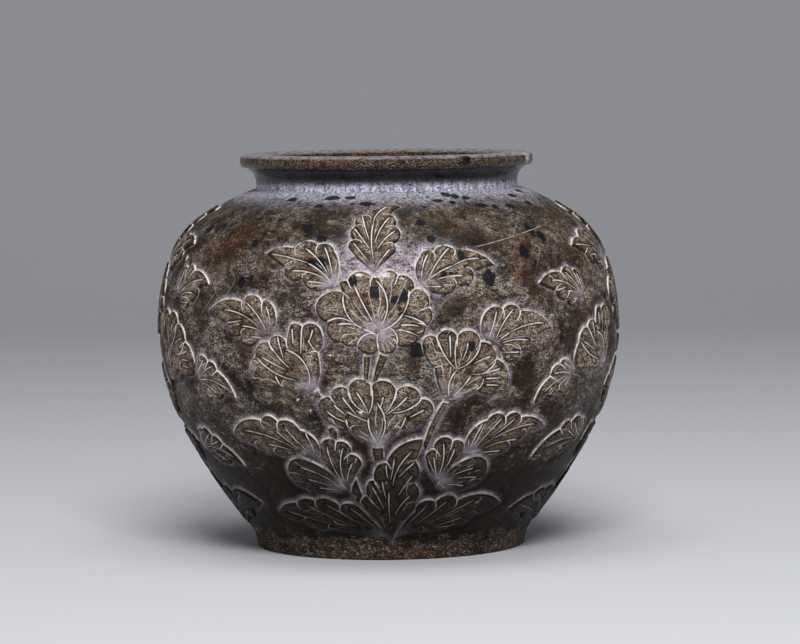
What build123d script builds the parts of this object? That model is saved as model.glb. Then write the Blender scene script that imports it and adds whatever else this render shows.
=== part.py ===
from build123d import *
from math import atan2, copysign, cos, degrees, hypot, radians, sin, sqrt
import os

# Storage jar of the martaban kind: a round-bellied jar with a short flared neck, built up from
# thrown clay sections and dressed with four sprays of peony leaves and blossoms laid on in low relief.
# Millimetres, +Z up, the origin on the floor at the middle of the foot. The front spray faces -Y.

# Driving sizes
belly_radius = 118.8          # plain wall at its widest
wall_height = 185.5           # floor to the joint between shoulder and neck
wall_thickness = 7.0
belly_joint_height = 118.0    # where the two thrown halves of the wall meet
foot_radius = 69.8            # outside of the foot ring on the floor
foot_top_radius = 71.0
foot_height = 7.5             # floor to the joint between foot ring and wall
foot_bevel = 0.8              # broken edge where the foot meets the floor
base_radius = 60.0            # base disc, set in the foot ring and the wall
base_underside = 3.0          # hollow under the base disc
base_top = 12.0               # inside floor of the jar
neck_radius = 68.0
neck_waist_radius = 67.8
neck_waist_height = 189.5
mouth_radius = 61.8           # bore of the neck
lip_joint_height = 197.0
lip_underside_radius = 75.0
lip_radius = 76.0
lip_edge_low = 199.2          # lower end of the lip's upright edge
lip_edge_high = 202.0         # upper end of the lip's upright edge
lip_crest_height = 203.7
lip_crest_radius = 70.6
lip_inner_height = 201.6      # where the crest rolls down into the bore
relief_height = 1.25          # how far leaves and petals stand off the wall
groove_floor = 0.5            # clay left under the cut veins and petal lines
vein_width = 1.3
petal_line_width = 1.5

# The wall's outline is six arcs, each leaving the last one's end the way it arrived: rows of (share
# of the belly radius, share of the wall height) where they meet, from the bottom up
wall_shares = [
    (0.6683, 0.1083),
    (0.8828, 0.3241),
    (0.9983, 0.5928),
    (0.9453, 0.8101),
    (0.7969, 0.9276),
]
wall_start_lean = 59.5        # degrees from level, where the wall leaves the foot
neck_flare_share = 0.18       # how far the neck's flare bows in from a straight line
lip_shoulder_share = 0.075    # how far the lip's outer rounding bows out
lip_roll_share = 0.06         # how far the roll into the bore bows up
slope_share = 0.01            # step up and down the wall used to find its slope
inner_shoulder_share = 0.970  # height where the inside of the shoulder meets the bore
prism_in_share = 0.2          # how far a drawn motif is pushed in from its own tangent plane
prism_out_share = 0.06        # how far it is pushed out

# Motifs: rows of (turn round the jar in degrees, share of the wall height), turn 0 at the middle of
# the spray. Outline rows go corner, point passed through, corner, point passed through, and so on.
# Line rows are the start, the middle and the end of a cut line.
crown_leaf_shares = [
    (-3.2, 0.797), (-6.8, 0.8265), (-10.1, 0.862), (-10.1, 0.8755),
    (-8.9, 0.8815), (-10.25, 0.9015), (-8.6, 0.9175), (-9.4, 0.934),
    (-6.4, 0.9415), (-5.2, 0.952), (-0.6, 0.9635), (2.0, 0.9655),
    (4.9, 0.963), (2.3, 0.953), (1.4, 0.9425), (2.9, 0.930),
    (2.3, 0.9145), (3.9, 0.899), (1.8, 0.8705), (2.4, 0.856),
    (1.3, 0.842), (-0.9, 0.821),
]
crown_vein_shares = [
    ((-9.0, 0.873), (-6.8, 0.850), (-4.7, 0.826)),
    ((-9.4, 0.910), (-7.0, 0.887), (-4.7, 0.860)),
    ((-7.6, 0.940), (-6.1, 0.910), (-4.7, 0.880)),
    ((0.4, 0.9615), (-2.7, 0.946), (-3.8, 0.925)),
    ((-3.8, 0.924), (-4.1, 0.880), (-3.4, 0.830)),
    ((1.1, 0.936), (-1.5, 0.910), (-3.1, 0.874)),
    ((2.5, 0.902), (-0.4, 0.882), (-2.4, 0.857)),
    ((0.9, 0.857), (-1.0, 0.835), (-2.4, 0.815)),
]
upper_left_leaf_shares = [
    (-12.9, 0.770), (-12.1, 0.808), (-13.7, 0.853), (-16.4, 0.872),
    (-18.5, 0.868), (-22.2, 0.8775), (-24.8, 0.860), (-28.2, 0.8625),
    (-33.1, 0.8445), (-30.3, 0.829), (-26.8, 0.810), (-25.9, 0.786),
    (-21.5, 0.781), (-19.6, 0.756), (-14.6, 0.7575), (-13.4, 0.762),
]
upper_left_vein_shares = [
    ((-16.6, 0.863), (-14.9, 0.833), (-13.6, 0.788)),
    ((-21.9, 0.859), (-18.4, 0.836), (-15.0, 0.797)),
    ((-31.4, 0.8425), (-26.5, 0.836), (-20.6, 0.822)),
    ((-20.4, 0.821), (-17.0, 0.802), (-13.9, 0.773)),
    ((-24.6, 0.800), (-19.6, 0.797), (-15.6, 0.781)),
    ((-19.9, 0.773), (-17.6, 0.772), (-15.2, 0.768)),
]
upper_right_leaf_shares = [
    (8.0, 0.768), (7.0, 0.797), (8.6, 0.838), (10.6, 0.853),
    (12.1, 0.8465), (15.3, 0.8635), (17.9, 0.8525), (22.6, 0.847),
    (28.2, 0.808), (25.3, 0.803), (22.0, 0.7925), (21.5, 0.771),
    (17.2, 0.763), (16.2, 0.7455), (12.6, 0.7385), (10.4, 0.7455),
]
upper_right_vein_shares = [
    ((10.6, 0.842), (9.0, 0.812), (8.5, 0.782)),
    ((16.6, 0.858), (12.9, 0.823), (10.2, 0.780)),
    ((24.2, 0.826), (20.5, 0.825), (17.0, 0.812)),
    ((16.8, 0.811), (12.6, 0.793), (9.1, 0.768)),
    ((19.2, 0.783), (15.8, 0.784), (12.6, 0.777)),
    ((13.4, 0.7575), (11.4, 0.758), (9.4, 0.759)),
]
main_blossom_shares = [
    (-2.2, 0.594), (-4.6, 0.583), (-7.2, 0.607), (-9.4, 0.605),
    (-11.2, 0.617), (-13.9, 0.627), (-14.7, 0.652), (-14.5, 0.660),
    (-14.6, 0.668), (-17.1, 0.690), (-15.3, 0.741), (-13.2, 0.7505),
    (-11.0, 0.747), (-11.4, 0.758), (-11.9, 0.773), (-10.9, 0.777),
    (-9.8, 0.778), (-7.2, 0.8005), (-3.7, 0.786), (-2.8, 0.785),
    (-1.9, 0.786), (0.1, 0.803), (2.7, 0.789), (5.4, 0.785),
    (6.6, 0.754), (9.6, 0.740), (9.9, 0.7055), (10.8, 0.688),
    (9.1, 0.657), (8.6, 0.635), (6.9, 0.617), (4.7, 0.603),
    (2.1, 0.607), (0.4, 0.5845),
]
main_blossom_line_shares = [
    ((-8.2, 0.768), (-5.6, 0.711), (-2.6, 0.654)),
    ((-3.0, 0.778), (-0.3, 0.735), (-2.0, 0.654)),
    ((-10.6, 0.744), (-10.0, 0.697), (-6.0, 0.652)),
    ((-5.8, 0.650), (-4.4, 0.645), (-3.0, 0.637)),
    ((5.2, 0.752), (4.9, 0.720), (3.9, 0.694)),
    ((3.7, 0.691), (1.6, 0.664), (-1.6, 0.646)),
    ((-14.4, 0.668), (-11.6, 0.679), (-8.8, 0.669)),
    ((9.0, 0.659), (6.6, 0.675), (4.2, 0.684)),
    ((-7.2, 0.609), (-5.8, 0.632), (-3.2, 0.639)),
    ((2.1, 0.609), (2.0, 0.634), (0.6, 0.652)),
    ((-2.2, 0.597), (-2.5, 0.618), (-2.4, 0.637)),
    ((-11.9, 0.662), (-9.2, 0.664), (-6.8, 0.658)),
    ((3.0, 0.659), (5.2, 0.660), (7.2, 0.656)),
    ((2.2, 0.648), (4.6, 0.643), (7.0, 0.631)),
]
left_blossom_shares = [
    (-18.4, 0.486), (-22.5, 0.4795), (-26.5, 0.492), (-31.0, 0.4905),
    (-34.6, 0.498), (-35.4, 0.520), (-33.7, 0.574), (-32.3, 0.607),
    (-29.5, 0.612), (-27.2, 0.632), (-24.9, 0.6125), (-24.4, 0.640),
    (-23.9, 0.660), (-22.4, 0.665), (-20.7, 0.656), (-18.4, 0.666),
    (-15.8, 0.641), (-15.5, 0.622), (-16.9, 0.588), (-16.5, 0.545),
    (-17.6, 0.499), (-17.9, 0.491),
]
left_blossom_line_shares = [
    ((-29.2, 0.603), (-27.2, 0.575), (-24.4, 0.547)),
    ((-33.3, 0.574), (-29.0, 0.536), (-22.8, 0.513)),
    ((-25.2, 0.594), (-21.2, 0.572), (-19.4, 0.500)),
    ((-20.75, 0.648), (-20.9, 0.62), (-21.1, 0.587)),
    ((-19.2, 0.622), (-18.4, 0.605), (-17.6, 0.593)),
    ((-28.2, 0.524), (-27.7, 0.511), (-27.0, 0.501)),
    ((-27.1, 0.629), (-26.5, 0.602), (-25.8, 0.576)),
    ((-31.9, 0.574), (-28.7, 0.557), (-25.4, 0.541)),
    ((-23.2, 0.651), (-23.1, 0.630), (-23.0, 0.612)),
    ((-18.0, 0.649), (-18.3, 0.636), (-18.7, 0.624)),
]
right_blossom_shares = [
    (13.4, 0.463), (11.8, 0.504), (11.1, 0.543), (9.0, 0.571),
    (8.2, 0.601), (9.9, 0.632), (11.6, 0.6255), (13.7, 0.645),
    (16.6, 0.6265), (19.6, 0.642), (22.5, 0.610), (25.6, 0.597),
    (26.7, 0.562), (30.0, 0.531), (29.7, 0.476), (26.6, 0.465),
    (21.8, 0.4795), (18.5, 0.461), (15.0, 0.453), (14.2, 0.456),
]
right_blossom_line_shares = [
    ((11.6, 0.6245), (13.2, 0.582), (16.0, 0.543)),
    ((16.6, 0.6255), (16.0, 0.590), (16.4, 0.546)),
    ((22.4, 0.608), (20.6, 0.566), (16.8, 0.541)),
    ((16.6, 0.538), (14.9, 0.510), (14.9, 0.468)),
    ((26.6, 0.561), (24.6, 0.533), (20.6, 0.525)),
    ((20.2, 0.522), (18.8, 0.500), (16.0, 0.468)),
    ((23.5, 0.512), (23.0, 0.495), (21.9, 0.481)),
    ((14.7, 0.632), (14.8, 0.602), (14.9, 0.574)),
    ((19.1, 0.610), (18.8, 0.588), (17.9, 0.566)),
    ((25.2, 0.570), (23.0, 0.563), (21.0, 0.553)),
    ((28.0, 0.537), (25.8, 0.531), (23.4, 0.524)),
    ((24.0, 0.511), (25.8, 0.511), (27.6, 0.511)),
    ((24.2, 0.494), (25.8, 0.493), (27.4, 0.491)),
]
middle_blossom_shares = [
    (-4.6, 0.337), (-7.4, 0.353), (-10.0, 0.380), (-15.7, 0.399),
    (-17.8, 0.440), (-16.9, 0.462), (-14.4, 0.470), (-12.7, 0.495),
    (-9.8, 0.491), (-7.2, 0.5185), (-4.2, 0.498), (-1.5, 0.5145),
    (1.9, 0.4855), (5.0, 0.498), (7.9, 0.462), (10.4, 0.453),
    (10.9, 0.421), (8.2, 0.392), (2.8, 0.379), (0.6, 0.356),
    (-1.7, 0.337), (-3.1, 0.334),
]
middle_blossom_line_shares = [
    ((-4.1, 0.496), (-3.9, 0.466), (-4.9, 0.426)),
    ((-5.1, 0.414), (-5.0, 0.382), (-3.4, 0.348)),
    ((-3.1, 0.456), (-1.2, 0.418), (-2.5, 0.350)),
    ((-9.9, 0.488), (-8.9, 0.457), (-5.4, 0.427)),
    ((-10.7, 0.433), (-8.2, 0.417), (-5.4, 0.404)),
    ((-10.7, 0.410), (-10.7, 0.398), (-10.1, 0.382)),
    ((1.8, 0.484), (1.1, 0.458), (-0.8, 0.426)),
    ((4.6, 0.470), (2.1, 0.443), (-0.4, 0.424)),
    ((7.1, 0.452), (4.6, 0.434), (1.0, 0.426)),
    ((4.2, 0.415), (3.6, 0.397), (2.8, 0.381)),
    ((8.9, 0.433), (7.2, 0.424), (5.4, 0.414)),
    ((-15.7, 0.434), (-13.4, 0.413), (-11.0, 0.402)),
    ((-13.7, 0.449), (-12.2, 0.434), (-10.8, 0.421)),
    ((-11.4, 0.471), (-9.9, 0.447), (-8.4, 0.427)),
    ((-7.9, 0.485), (-6.4, 0.457), (-5.3, 0.431)),
    ((-1.3, 0.471), (-1.6, 0.458), (-1.9, 0.446)),
]
mid_left_leaf_shares = [
    (-29.5, 0.633), (-27.7, 0.672), (-30.0, 0.721), (-31.1, 0.724),
    (-31.9, 0.714), (-35.6, 0.736), (-37.9, 0.717), (-42.8, 0.722),
    (-49.0, 0.689), (-46.3, 0.6735), (-42.4, 0.660), (-41.3, 0.632),
    (-37.8, 0.629), (-36.2, 0.600), (-33.2, 0.611), (-31.9, 0.6215),
]
mid_left_vein_shares = [
    ((-30.6, 0.708), (-29.7, 0.688), (-29.2, 0.660)),
    ((-36.5, 0.716), (-33.4, 0.689), (-30.4, 0.647)),
    ((-43.5, 0.694), (-37.8, 0.684), (-32.2, 0.651)),
    ((-42.2, 0.660), (-39.8, 0.663), (-37.8, 0.667)),
    ((-37.5, 0.653), (-34.8, 0.651), (-31.8, 0.641)),
    ((-34.9, 0.626), (-33.0, 0.625), (-31.2, 0.624)),
]
mid_right_leaf_shares = [
    (24.0, 0.612), (22.7, 0.652), (25.1, 0.697), (26.8, 0.702),
    (28.8, 0.693), (31.4, 0.705), (33.6, 0.6865), (37.7, 0.681),
    (43.4, 0.634), (41.0, 0.6305), (38.3, 0.619), (37.3, 0.592),
    (33.6, 0.580), (32.3, 0.5555), (28.6, 0.5605), (27.6, 0.588),
]
mid_right_vein_shares = [
    ((26.9, 0.690), (25.9, 0.655), (24.7, 0.622)),
    ((31.9, 0.694), (28.8, 0.660), (26.6, 0.618)),
    ((40.6, 0.650), (35.4, 0.648), (30.6, 0.632)),
    ((30.2, 0.630), (28.6, 0.621), (27.0, 0.609)),
    ((35.8, 0.606), (32.0, 0.611), (28.2, 0.604)),
    ((33.2, 0.5775), (31.0, 0.5775), (28.8, 0.579)),
]
lower_left_leaf_shares = [
    (-20.4, 0.298), (-19.9, 0.350), (-23.8, 0.3755), (-26.6, 0.402),
    (-29.8, 0.396), (-32.6, 0.413), (-35.0, 0.399), (-40.4, 0.397),
    (-46.4, 0.356), (-43.2, 0.336), (-39.5, 0.326), (-37.8, 0.309),
    (-33.4, 0.308), (-31.8, 0.2995), (-28.4, 0.3015), (-24.2, 0.3035),
]
lower_left_vein_shares = [
    ((-22.3, 0.370), (-21.4, 0.342), (-20.8, 0.316)),
    ((-27.9, 0.386), (-25.2, 0.344), (-21.6, 0.309)),
    ((-30.9, 0.374), (-28.4, 0.350), (-25.6, 0.325)),
    ((-41.8, 0.3675), (-34.6, 0.358), (-26.4, 0.324)),
    ((-34.8, 0.333), (-31.4, 0.328), (-27.4, 0.318)),
]
lower_right_leaf_shares = [
    (21.9, 0.303), (21.6, 0.364), (25.9, 0.396), (28.9, 0.4145),
    (31.3, 0.400), (34.0, 0.4135), (36.3, 0.398), (40.8, 0.395),
    (45.6, 0.366), (42.6, 0.357), (39.2, 0.3525), (38.4, 0.334),
    (34.8, 0.320), (32.6, 0.302), (28.9, 0.2985), (25.2, 0.3005),
]
lower_right_vein_shares = [
    ((24.6, 0.388), (23.3, 0.355), (22.3, 0.319)),
    ((30.2, 0.402), (26.8, 0.362), (23.8, 0.321)),
    ((34.3, 0.398), (31.2, 0.372), (28.0, 0.348)),
    ((41.4, 0.3765), (33.4, 0.365), (25.4, 0.323)),
    ((36.7, 0.336), (31.9, 0.334), (27.0, 0.319)),
    ((32.2, 0.3085), (29.0, 0.3075), (25.8, 0.3055)),
]
lower_left_sprig_shares = [
    (-13.6, 0.219), (-16.8, 0.2525), (-19.0, 0.283), (-19.2, 0.318),
    (-18.4, 0.340), (-16.6, 0.3535), (-14.2, 0.345), (-11.4, 0.3425),
    (-10.8, 0.3115), (-8.3, 0.299), (-8.5, 0.271), (-11.0, 0.241),
]
lower_left_sprig_vein_shares = [
    ((-16.9, 0.334), (-16.4, 0.286), (-14.2, 0.229)),
    ((-12.4, 0.331), (-13.9, 0.284), (-13.6, 0.233)),
    ((-10.3, 0.288), (-11.8, 0.262), (-12.9, 0.231)),
]
lower_left_tongue_shares = [
    (-13.9, 0.211), (-18.4, 0.2625), (-24.6, 0.293), (-28.9, 0.288),
    (-30.9, 0.240), (-30.0, 0.221), (-27.0, 0.209), (-24.5, 0.196),
    (-20.5, 0.194), (-17.4, 0.1975),
]
lower_left_tongue_vein_shares = [
    ((-26.8, 0.271), (-21.4, 0.254), (-16.4, 0.227)),
    ((-25.4, 0.237), (-21.6, 0.229), (-17.8, 0.219)),
    ((-22.4, 0.213), (-19.4, 0.2105), (-16.4, 0.208)),
]
lower_right_sprig_shares = [
    (14.6, 0.226), (11.6, 0.258), (10.2, 0.294), (10.7, 0.3165),
    (12.4, 0.321), (14.1, 0.355), (17.1, 0.343), (19.8, 0.341),
    (20.1, 0.312), (18.6, 0.2815), (15.6, 0.241), (15.1, 0.232),
]
lower_right_sprig_vein_shares = [
    ((14.4, 0.340), (15.1, 0.295), (14.5, 0.250)),
    ((17.9, 0.323), (17.2, 0.294), (15.8, 0.262)),
    ((12.2, 0.302), (13.0, 0.272), (13.7, 0.247)),
]
lower_right_tongue_shares = [
    (14.8, 0.218), (18.7, 0.2705), (23.2, 0.2925), (28.2, 0.285),
    (29.1, 0.238), (28.0, 0.220), (25.2, 0.209), (22.6, 0.197),
    (18.8, 0.1965), (16.4, 0.204),
]
lower_right_tongue_vein_shares = [
    ((25.0, 0.264), (21.8, 0.256), (18.6, 0.245)),
    ((27.2, 0.235), (23.8, 0.238), (20.2, 0.235)),
    ((23.4, 0.213), (20.4, 0.218), (17.4, 0.220)),
]
base_leaf_shares = [
    (0.5, 0.046), (-4.7, 0.1105), (-9.6, 0.160), (-12.0, 0.203),
    (-9.9, 0.241), (-9.3, 0.213), (-8.5, 0.1885), (-7.9, 0.1895),
    (-7.1, 0.188), (-7.4, 0.212), (-6.2, 0.234), (-5.4, 0.2365),
    (-4.6, 0.2345), (-4.6, 0.258), (-3.4, 0.280), (-2.2, 0.2855),
    (-0.8, 0.2875), (2.6, 0.3335), (9.0, 0.352), (8.3, 0.314),
    (7.3, 0.290), (8.7, 0.262), (7.3, 0.2265), (9.1, 0.206),
    (8.2, 0.170), (8.4, 0.153), (7.4, 0.1375), (3.8, 0.107),
]
base_leaf_vein_shares = [
    ((6.4, 0.321), (2.9, 0.279), (0.9, 0.222)),
    ((7.0, 0.287), (4.8, 0.267), (2.6, 0.245)),
    ((-1.0, 0.281), (-0.9, 0.262), (-0.6, 0.243)),
    ((1.3, 0.300), (0.9, 0.268), (0.3, 0.240)),
    ((-2.3, 0.235), (-1.9, 0.210), (-1.3, 0.185)),
    ((6.7, 0.250), (4.5, 0.220), (2.5, 0.190)),
    ((6.4, 0.192), (3.8, 0.167), (1.6, 0.134)),
    ((-5.6, 0.222), (-3.8, 0.188), (-2.1, 0.152)),
    ((-6.9, 0.184), (-4.9, 0.165), (-3.1, 0.148)),
    ((-4.6, 0.232), (-3.7, 0.217), (-2.8, 0.201)),
    ((-0.3, 0.205), (-0.4, 0.160), (-0.1, 0.110)),
]
base_left_leaf_shares = [
    (-1.1, 0.0655), (-6.0, 0.113), (-10.3, 0.156), (-13.9, 0.1685),
    (-16.9, 0.159), (-21.2, 0.1805), (-25.3, 0.1715), (-29.0, 0.178),
    (-32.6, 0.164), (-37.8, 0.157), (-43.4, 0.128), (-38.0, 0.112),
    (-33.0, 0.108), (-28.6, 0.087), (-23.0, 0.090), (-12.4, 0.079),
]
base_left_vein_shares = [
    ((-13.6, 0.156), (-10.0, 0.130), (-5.8, 0.099)),
    ((-21.8, 0.166), (-15.6, 0.132), (-8.8, 0.099)),
    ((-29.4, 0.162), (-21.4, 0.128), (-12.4, 0.098)),
    ((-38.4, 0.138), (-30.4, 0.122), (-22.0, 0.104)),
]
base_right_leaf_shares = [
    (1.7, 0.0655), (4.4, 0.103), (8.6, 0.143), (12.2, 0.1755),
    (15.0, 0.168), (18.8, 0.187), (22.4, 0.169), (30.2, 0.185),
    (40.3, 0.153), (36.2, 0.136), (31.4, 0.126), (28.4, 0.102),
    (23.4, 0.0995), (18.0, 0.083), (12.0, 0.084), (6.6, 0.0775),
]
base_right_vein_shares = [
    ((12.4, 0.162), (9.4, 0.134), (5.8, 0.103)),
    ((19.0, 0.172), (14.2, 0.136), (9.2, 0.103)),
    ((29.0, 0.170), (21.4, 0.138), (12.6, 0.101)),
    ((26.6, 0.120), (21.4, 0.109), (15.6, 0.095)),
]
stem_shares = [
    [(-5.8, 0.579), (-5.95, 0.548), (-6.0, 0.5185), (-5.4, 0.516),
     (-4.9, 0.513), (-4.5, 0.545), (-4.1, 0.579), (-4.95, 0.579)],
    [(-1.9, 0.587), (-3.0, 0.551), (-3.9, 0.5115), (-3.3, 0.5125),
     (-2.7, 0.514), (-1.2, 0.548), (0.2, 0.580), (-0.8, 0.580)],
    [(9.4, 0.351), (11.0, 0.404), (13.5, 0.453), (14.2, 0.450),
     (14.9, 0.447), (12.6, 0.395), (10.1, 0.318), (9.2, 0.333)],
    [(-18.4, 0.481), (-18.3, 0.473), (-17.7, 0.465), (-17.1, 0.4675),
     (-16.6, 0.4705), (-17.1, 0.481), (-17.3, 0.488), (-17.9, 0.484)],
    [(-15.8, 0.371), (-15.7, 0.383), (-14.9, 0.3855), (-14.1, 0.382),
     (-13.7, 0.364), (-13.8, 0.357), (-14.1, 0.352), (-15.3, 0.358)],
    [(-4.7, 0.330), (-4.6, 0.312), (-4.2, 0.290), (-2.9, 0.293),
     (-1.6, 0.295), (-1.6, 0.313), (-1.7, 0.330), (-3.2, 0.3285)],
]

# The side sprays use the same motifs, each turned and sized about its root and carried to its own
# root: (root drawn, root there, turn anticlockwise in degrees, size as a share of the drawn one)
side_move_shares = {
    "crown_leaf": ((-3.1, 0.797), (-1.0, 0.800), -8, 0.95),
    "upper_left_leaf": ((-12.6, 0.765), (-13.0, 0.792), 4, 0.88),
    "upper_right_leaf": ((8.2, 0.765), (9.0, 0.795), 10, 0.80),
    "mid_left_leaf": ((-29.3, 0.631), (-33.6, 0.712), 1, 0.80),
    "mid_right_leaf": ((25.8, 0.604), (25.4, 0.722), 4, 0.80),
    "main_blossom": ((-2.3, 0.643), (-1.0, 0.650), 0, 0.94),
    "left_blossom": ((-18.9, 0.487), (-22.0, 0.513), 2, 0.94),
    "right_blossom": ((14.6, 0.462), (18.4, 0.500), 0, 0.98),
    "middle_blossom": ((-3.1, 0.340), (-1.0, 0.356), 0, 0.96),
    "lower_left_leaf": ((-20.4, 0.296), (-21.8, 0.315), 20, 0.88),
    "lower_right_leaf": ((21.4, 0.300), (22.0, 0.300), -24, 0.82),
    "drooping_left_leaf": ((-29.3, 0.631), (-38.2, 0.505), 43, 0.69),
    "drooping_right_leaf": ((25.8, 0.604), (35.2, 0.500), -26, 0.77),
    "lower_left_sprig": ((-13.6, 0.219), (-11.6, 0.224), 0, 0.92),
    "lower_right_sprig": ((14.6, 0.226), (13.0, 0.222), 0, 0.92),
    "base_leaf": ((0.5, 0.046), (0.5, 0.046), 0, 0.96),
    "base_left_leaf": ((-1.1, 0.0655), (-1.1, 0.0655), 0, 1.0),
    "base_right_leaf": ((1.7, 0.0655), (1.7, 0.0655), 0, 1.0),
}

# Stems of the side sprays, drawn where they stand
side_stem_shares = [
    [(-4.4, 0.590), (-4.6, 0.562), (-4.8, 0.537), (-4.3, 0.5345),
     (-3.8, 0.532), (-3.4, 0.560), (-2.9, 0.590), (-3.7, 0.5895)],
    [(12.4, 0.405), (13.8, 0.450), (16.6, 0.488), (17.4, 0.486),
     (18.2, 0.484), (15.8, 0.440), (13.6, 0.385), (12.9, 0.394)],
    [(-3.6, 0.344), (-3.5, 0.326), (-3.2, 0.300), (-1.6, 0.303),
     (0.2, 0.306), (0.3, 0.325), (0.4, 0.344), (-1.6, 0.342)],
]

single_motifs = [
    "crown_leaf", "upper_left_leaf", "upper_right_leaf", "main_blossom", "left_blossom",
    "right_blossom", "middle_blossom", "mid_left_leaf", "mid_right_leaf",
]

# Every motif's outline, its cut lines and their width
motifs = {
    "crown_leaf": (crown_leaf_shares, crown_vein_shares, vein_width),
    "upper_left_leaf": (upper_left_leaf_shares, upper_left_vein_shares, vein_width),
    "upper_right_leaf": (upper_right_leaf_shares, upper_right_vein_shares, vein_width),
    "main_blossom": (main_blossom_shares, main_blossom_line_shares, petal_line_width),
    "left_blossom": (left_blossom_shares, left_blossom_line_shares, petal_line_width),
    "right_blossom": (right_blossom_shares, right_blossom_line_shares, petal_line_width),
    "middle_blossom": (middle_blossom_shares, middle_blossom_line_shares, petal_line_width),
    "mid_left_leaf": (mid_left_leaf_shares, mid_left_vein_shares, vein_width),
    "mid_right_leaf": (mid_right_leaf_shares, mid_right_vein_shares, vein_width),
    "lower_left_leaf": (lower_left_leaf_shares, lower_left_vein_shares, vein_width),
    "lower_right_leaf": (lower_right_leaf_shares, lower_right_vein_shares, vein_width),
    "drooping_left_leaf": (mid_left_leaf_shares, mid_left_vein_shares, vein_width),
    "drooping_right_leaf": (mid_right_leaf_shares, mid_right_vein_shares, vein_width),
    "lower_left_sprig": (lower_left_sprig_shares, lower_left_sprig_vein_shares, vein_width),
    "lower_right_sprig": (lower_right_sprig_shares, lower_right_sprig_vein_shares, vein_width),
    "lower_left_tongue": (lower_left_tongue_shares, lower_left_tongue_vein_shares, vein_width),
    "lower_right_tongue": (lower_right_tongue_shares, lower_right_tongue_vein_shares, vein_width),
    "base_leaf": (base_leaf_shares, base_leaf_vein_shares, vein_width),
    "base_left_leaf": (base_left_leaf_shares, base_left_vein_shares, vein_width),
    "base_right_leaf": (base_right_leaf_shares, base_right_vein_shares, vein_width),
}

quarter_turn = 90
half_turn = 180
band_half_turn = 65           # the skin used for one spray reaches this far to either side


def wall_joints(out=0.0):
    """Ends of the wall's arcs, moved outward by a distance, and the lean of the wall at each."""
    points = [(foot_top_radius, foot_height)]
    points += [(belly_radius * r, wall_height * h) for r, h in wall_shares]
    points += [(neck_radius, wall_height)]
    lean = radians(wall_start_lean)
    joints = []
    for (r, z), (r_next, z_next) in zip(points, points[1:] + points[-1:]):
        joints.append((r + out * sin(lean), z - out * cos(lean), lean))
        lean = 2 * atan2(z_next - z, r_next - r) - lean
    return joints


def wall_arcs(joints):
    arcs = []
    for (r, z, lean), (r_next, z_next, _) in zip(joints, joints[1:]):
        arcs.append(TangentArc((r, 0, z), (r_next, 0, z_next), tangent=(cos(lean), 0, sin(lean))))
    return arcs


def path(points):
    return [Line((r, 0, z), (r_next, 0, z_next)) for (r, z), (r_next, z_next) in zip(points, points[1:])]


def turned(edges):
    """Solid swept once round the jar's axis by a closed outline in the XZ plane."""
    return revolve(make_face(edges), Axis.Z)


def wall():
    outer = wall_joints()
    inner = wall_joints(-wall_thickness)[1:]
    base_corner = (base_radius, base_top)
    bore_corner = (mouth_radius, wall_height * inner_shoulder_share)
    edges = wall_arcs(outer) + wall_arcs(inner)
    edges += path([inner[0][:2], base_corner, (base_radius, foot_height), outer[0][:2]])
    edges += path([inner[-1][:2], bore_corner, (mouth_radius, wall_height), outer[-1][:2]])
    return turned(edges)


def bowed(start, end, sag_share):
    """Arc from start to end in the XZ plane, bowed to its left by a share of its length."""
    run = end[0] - start[0]
    rise = end[1] - start[1]
    middle = ((start[0] + end[0]) / 2 - sag_share * rise, (start[1] + end[1]) / 2 + sag_share * run)
    return [ThreePointArc(*[(r, 0, z) for r, z in (start, middle, end)])]


def foot_ring():
    return turned(path([
        (base_radius, 0),
        (foot_radius - foot_bevel, 0),
        (foot_radius, foot_bevel),
        (foot_top_radius, foot_height),
        (base_radius, foot_height),
        (base_radius, 0),
    ]))


def base_disc():
    return turned(path([
        (0, base_underside),
        (base_radius, base_underside),
        (base_radius, base_top),
        (0, base_top),
        (0, base_underside),
    ]))


def neck():
    waist = (neck_waist_radius, neck_waist_height)
    flare_end = (lip_underside_radius, lip_joint_height)
    edges = path([(mouth_radius, wall_height), (neck_radius, wall_height), waist])
    edges += bowed(waist, flare_end, neck_flare_share)
    edges += path([flare_end, (mouth_radius, lip_joint_height), (mouth_radius, wall_height)])
    return turned(edges)


def lip():
    edge_top = (lip_radius, lip_edge_high)
    crest = (lip_crest_radius, lip_crest_height)
    roll_end = (mouth_radius, lip_inner_height)
    edges = path([
        roll_end,
        (mouth_radius, lip_joint_height),
        (lip_underside_radius, lip_joint_height),
        (lip_radius, lip_edge_low),
        edge_top,
    ])
    edges += bowed(crest, edge_top, lip_shoulder_share)
    edges += bowed(roll_end, crest, lip_roll_share)
    return turned(edges)


def band(low, high):
    """Front stretch of the skin between two distances off the wall."""
    inside = wall_joints(low)
    outside = wall_joints(high)
    edges = wall_arcs(inside) + wall_arcs(outside)
    edges += path([inside[0][:2], outside[0][:2]])
    edges += path([inside[-1][:2], outside[-1][:2]])
    stretch = revolve(make_face(edges), Axis.Z, revolution_arc=2 * band_half_turn)
    return Rot(0, 0, -quarter_turn - band_half_turn) * stretch


def wall_radius(height):
    """Radius of the wall at a height, from the circle its arc lies on."""
    joints = wall_joints()
    for (r, z, lean), (r_next, z_next, lean_next) in zip(joints, joints[1:]):
        if height <= z_next:
            break
    arc_radius = hypot(r_next - r, z_next - z) / (2 * sin((lean_next - lean) / 2))
    rise = height - (z + arc_radius * cos(lean))
    return r - arc_radius * sin(lean) + copysign(sqrt(arc_radius**2 - rise**2), arc_radius)


def wall_point(turn, share):
    height = share * wall_height
    radius = wall_radius(height)
    return Vector(radius * sin(radians(turn)), -radius * cos(radians(turn)), height)


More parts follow.
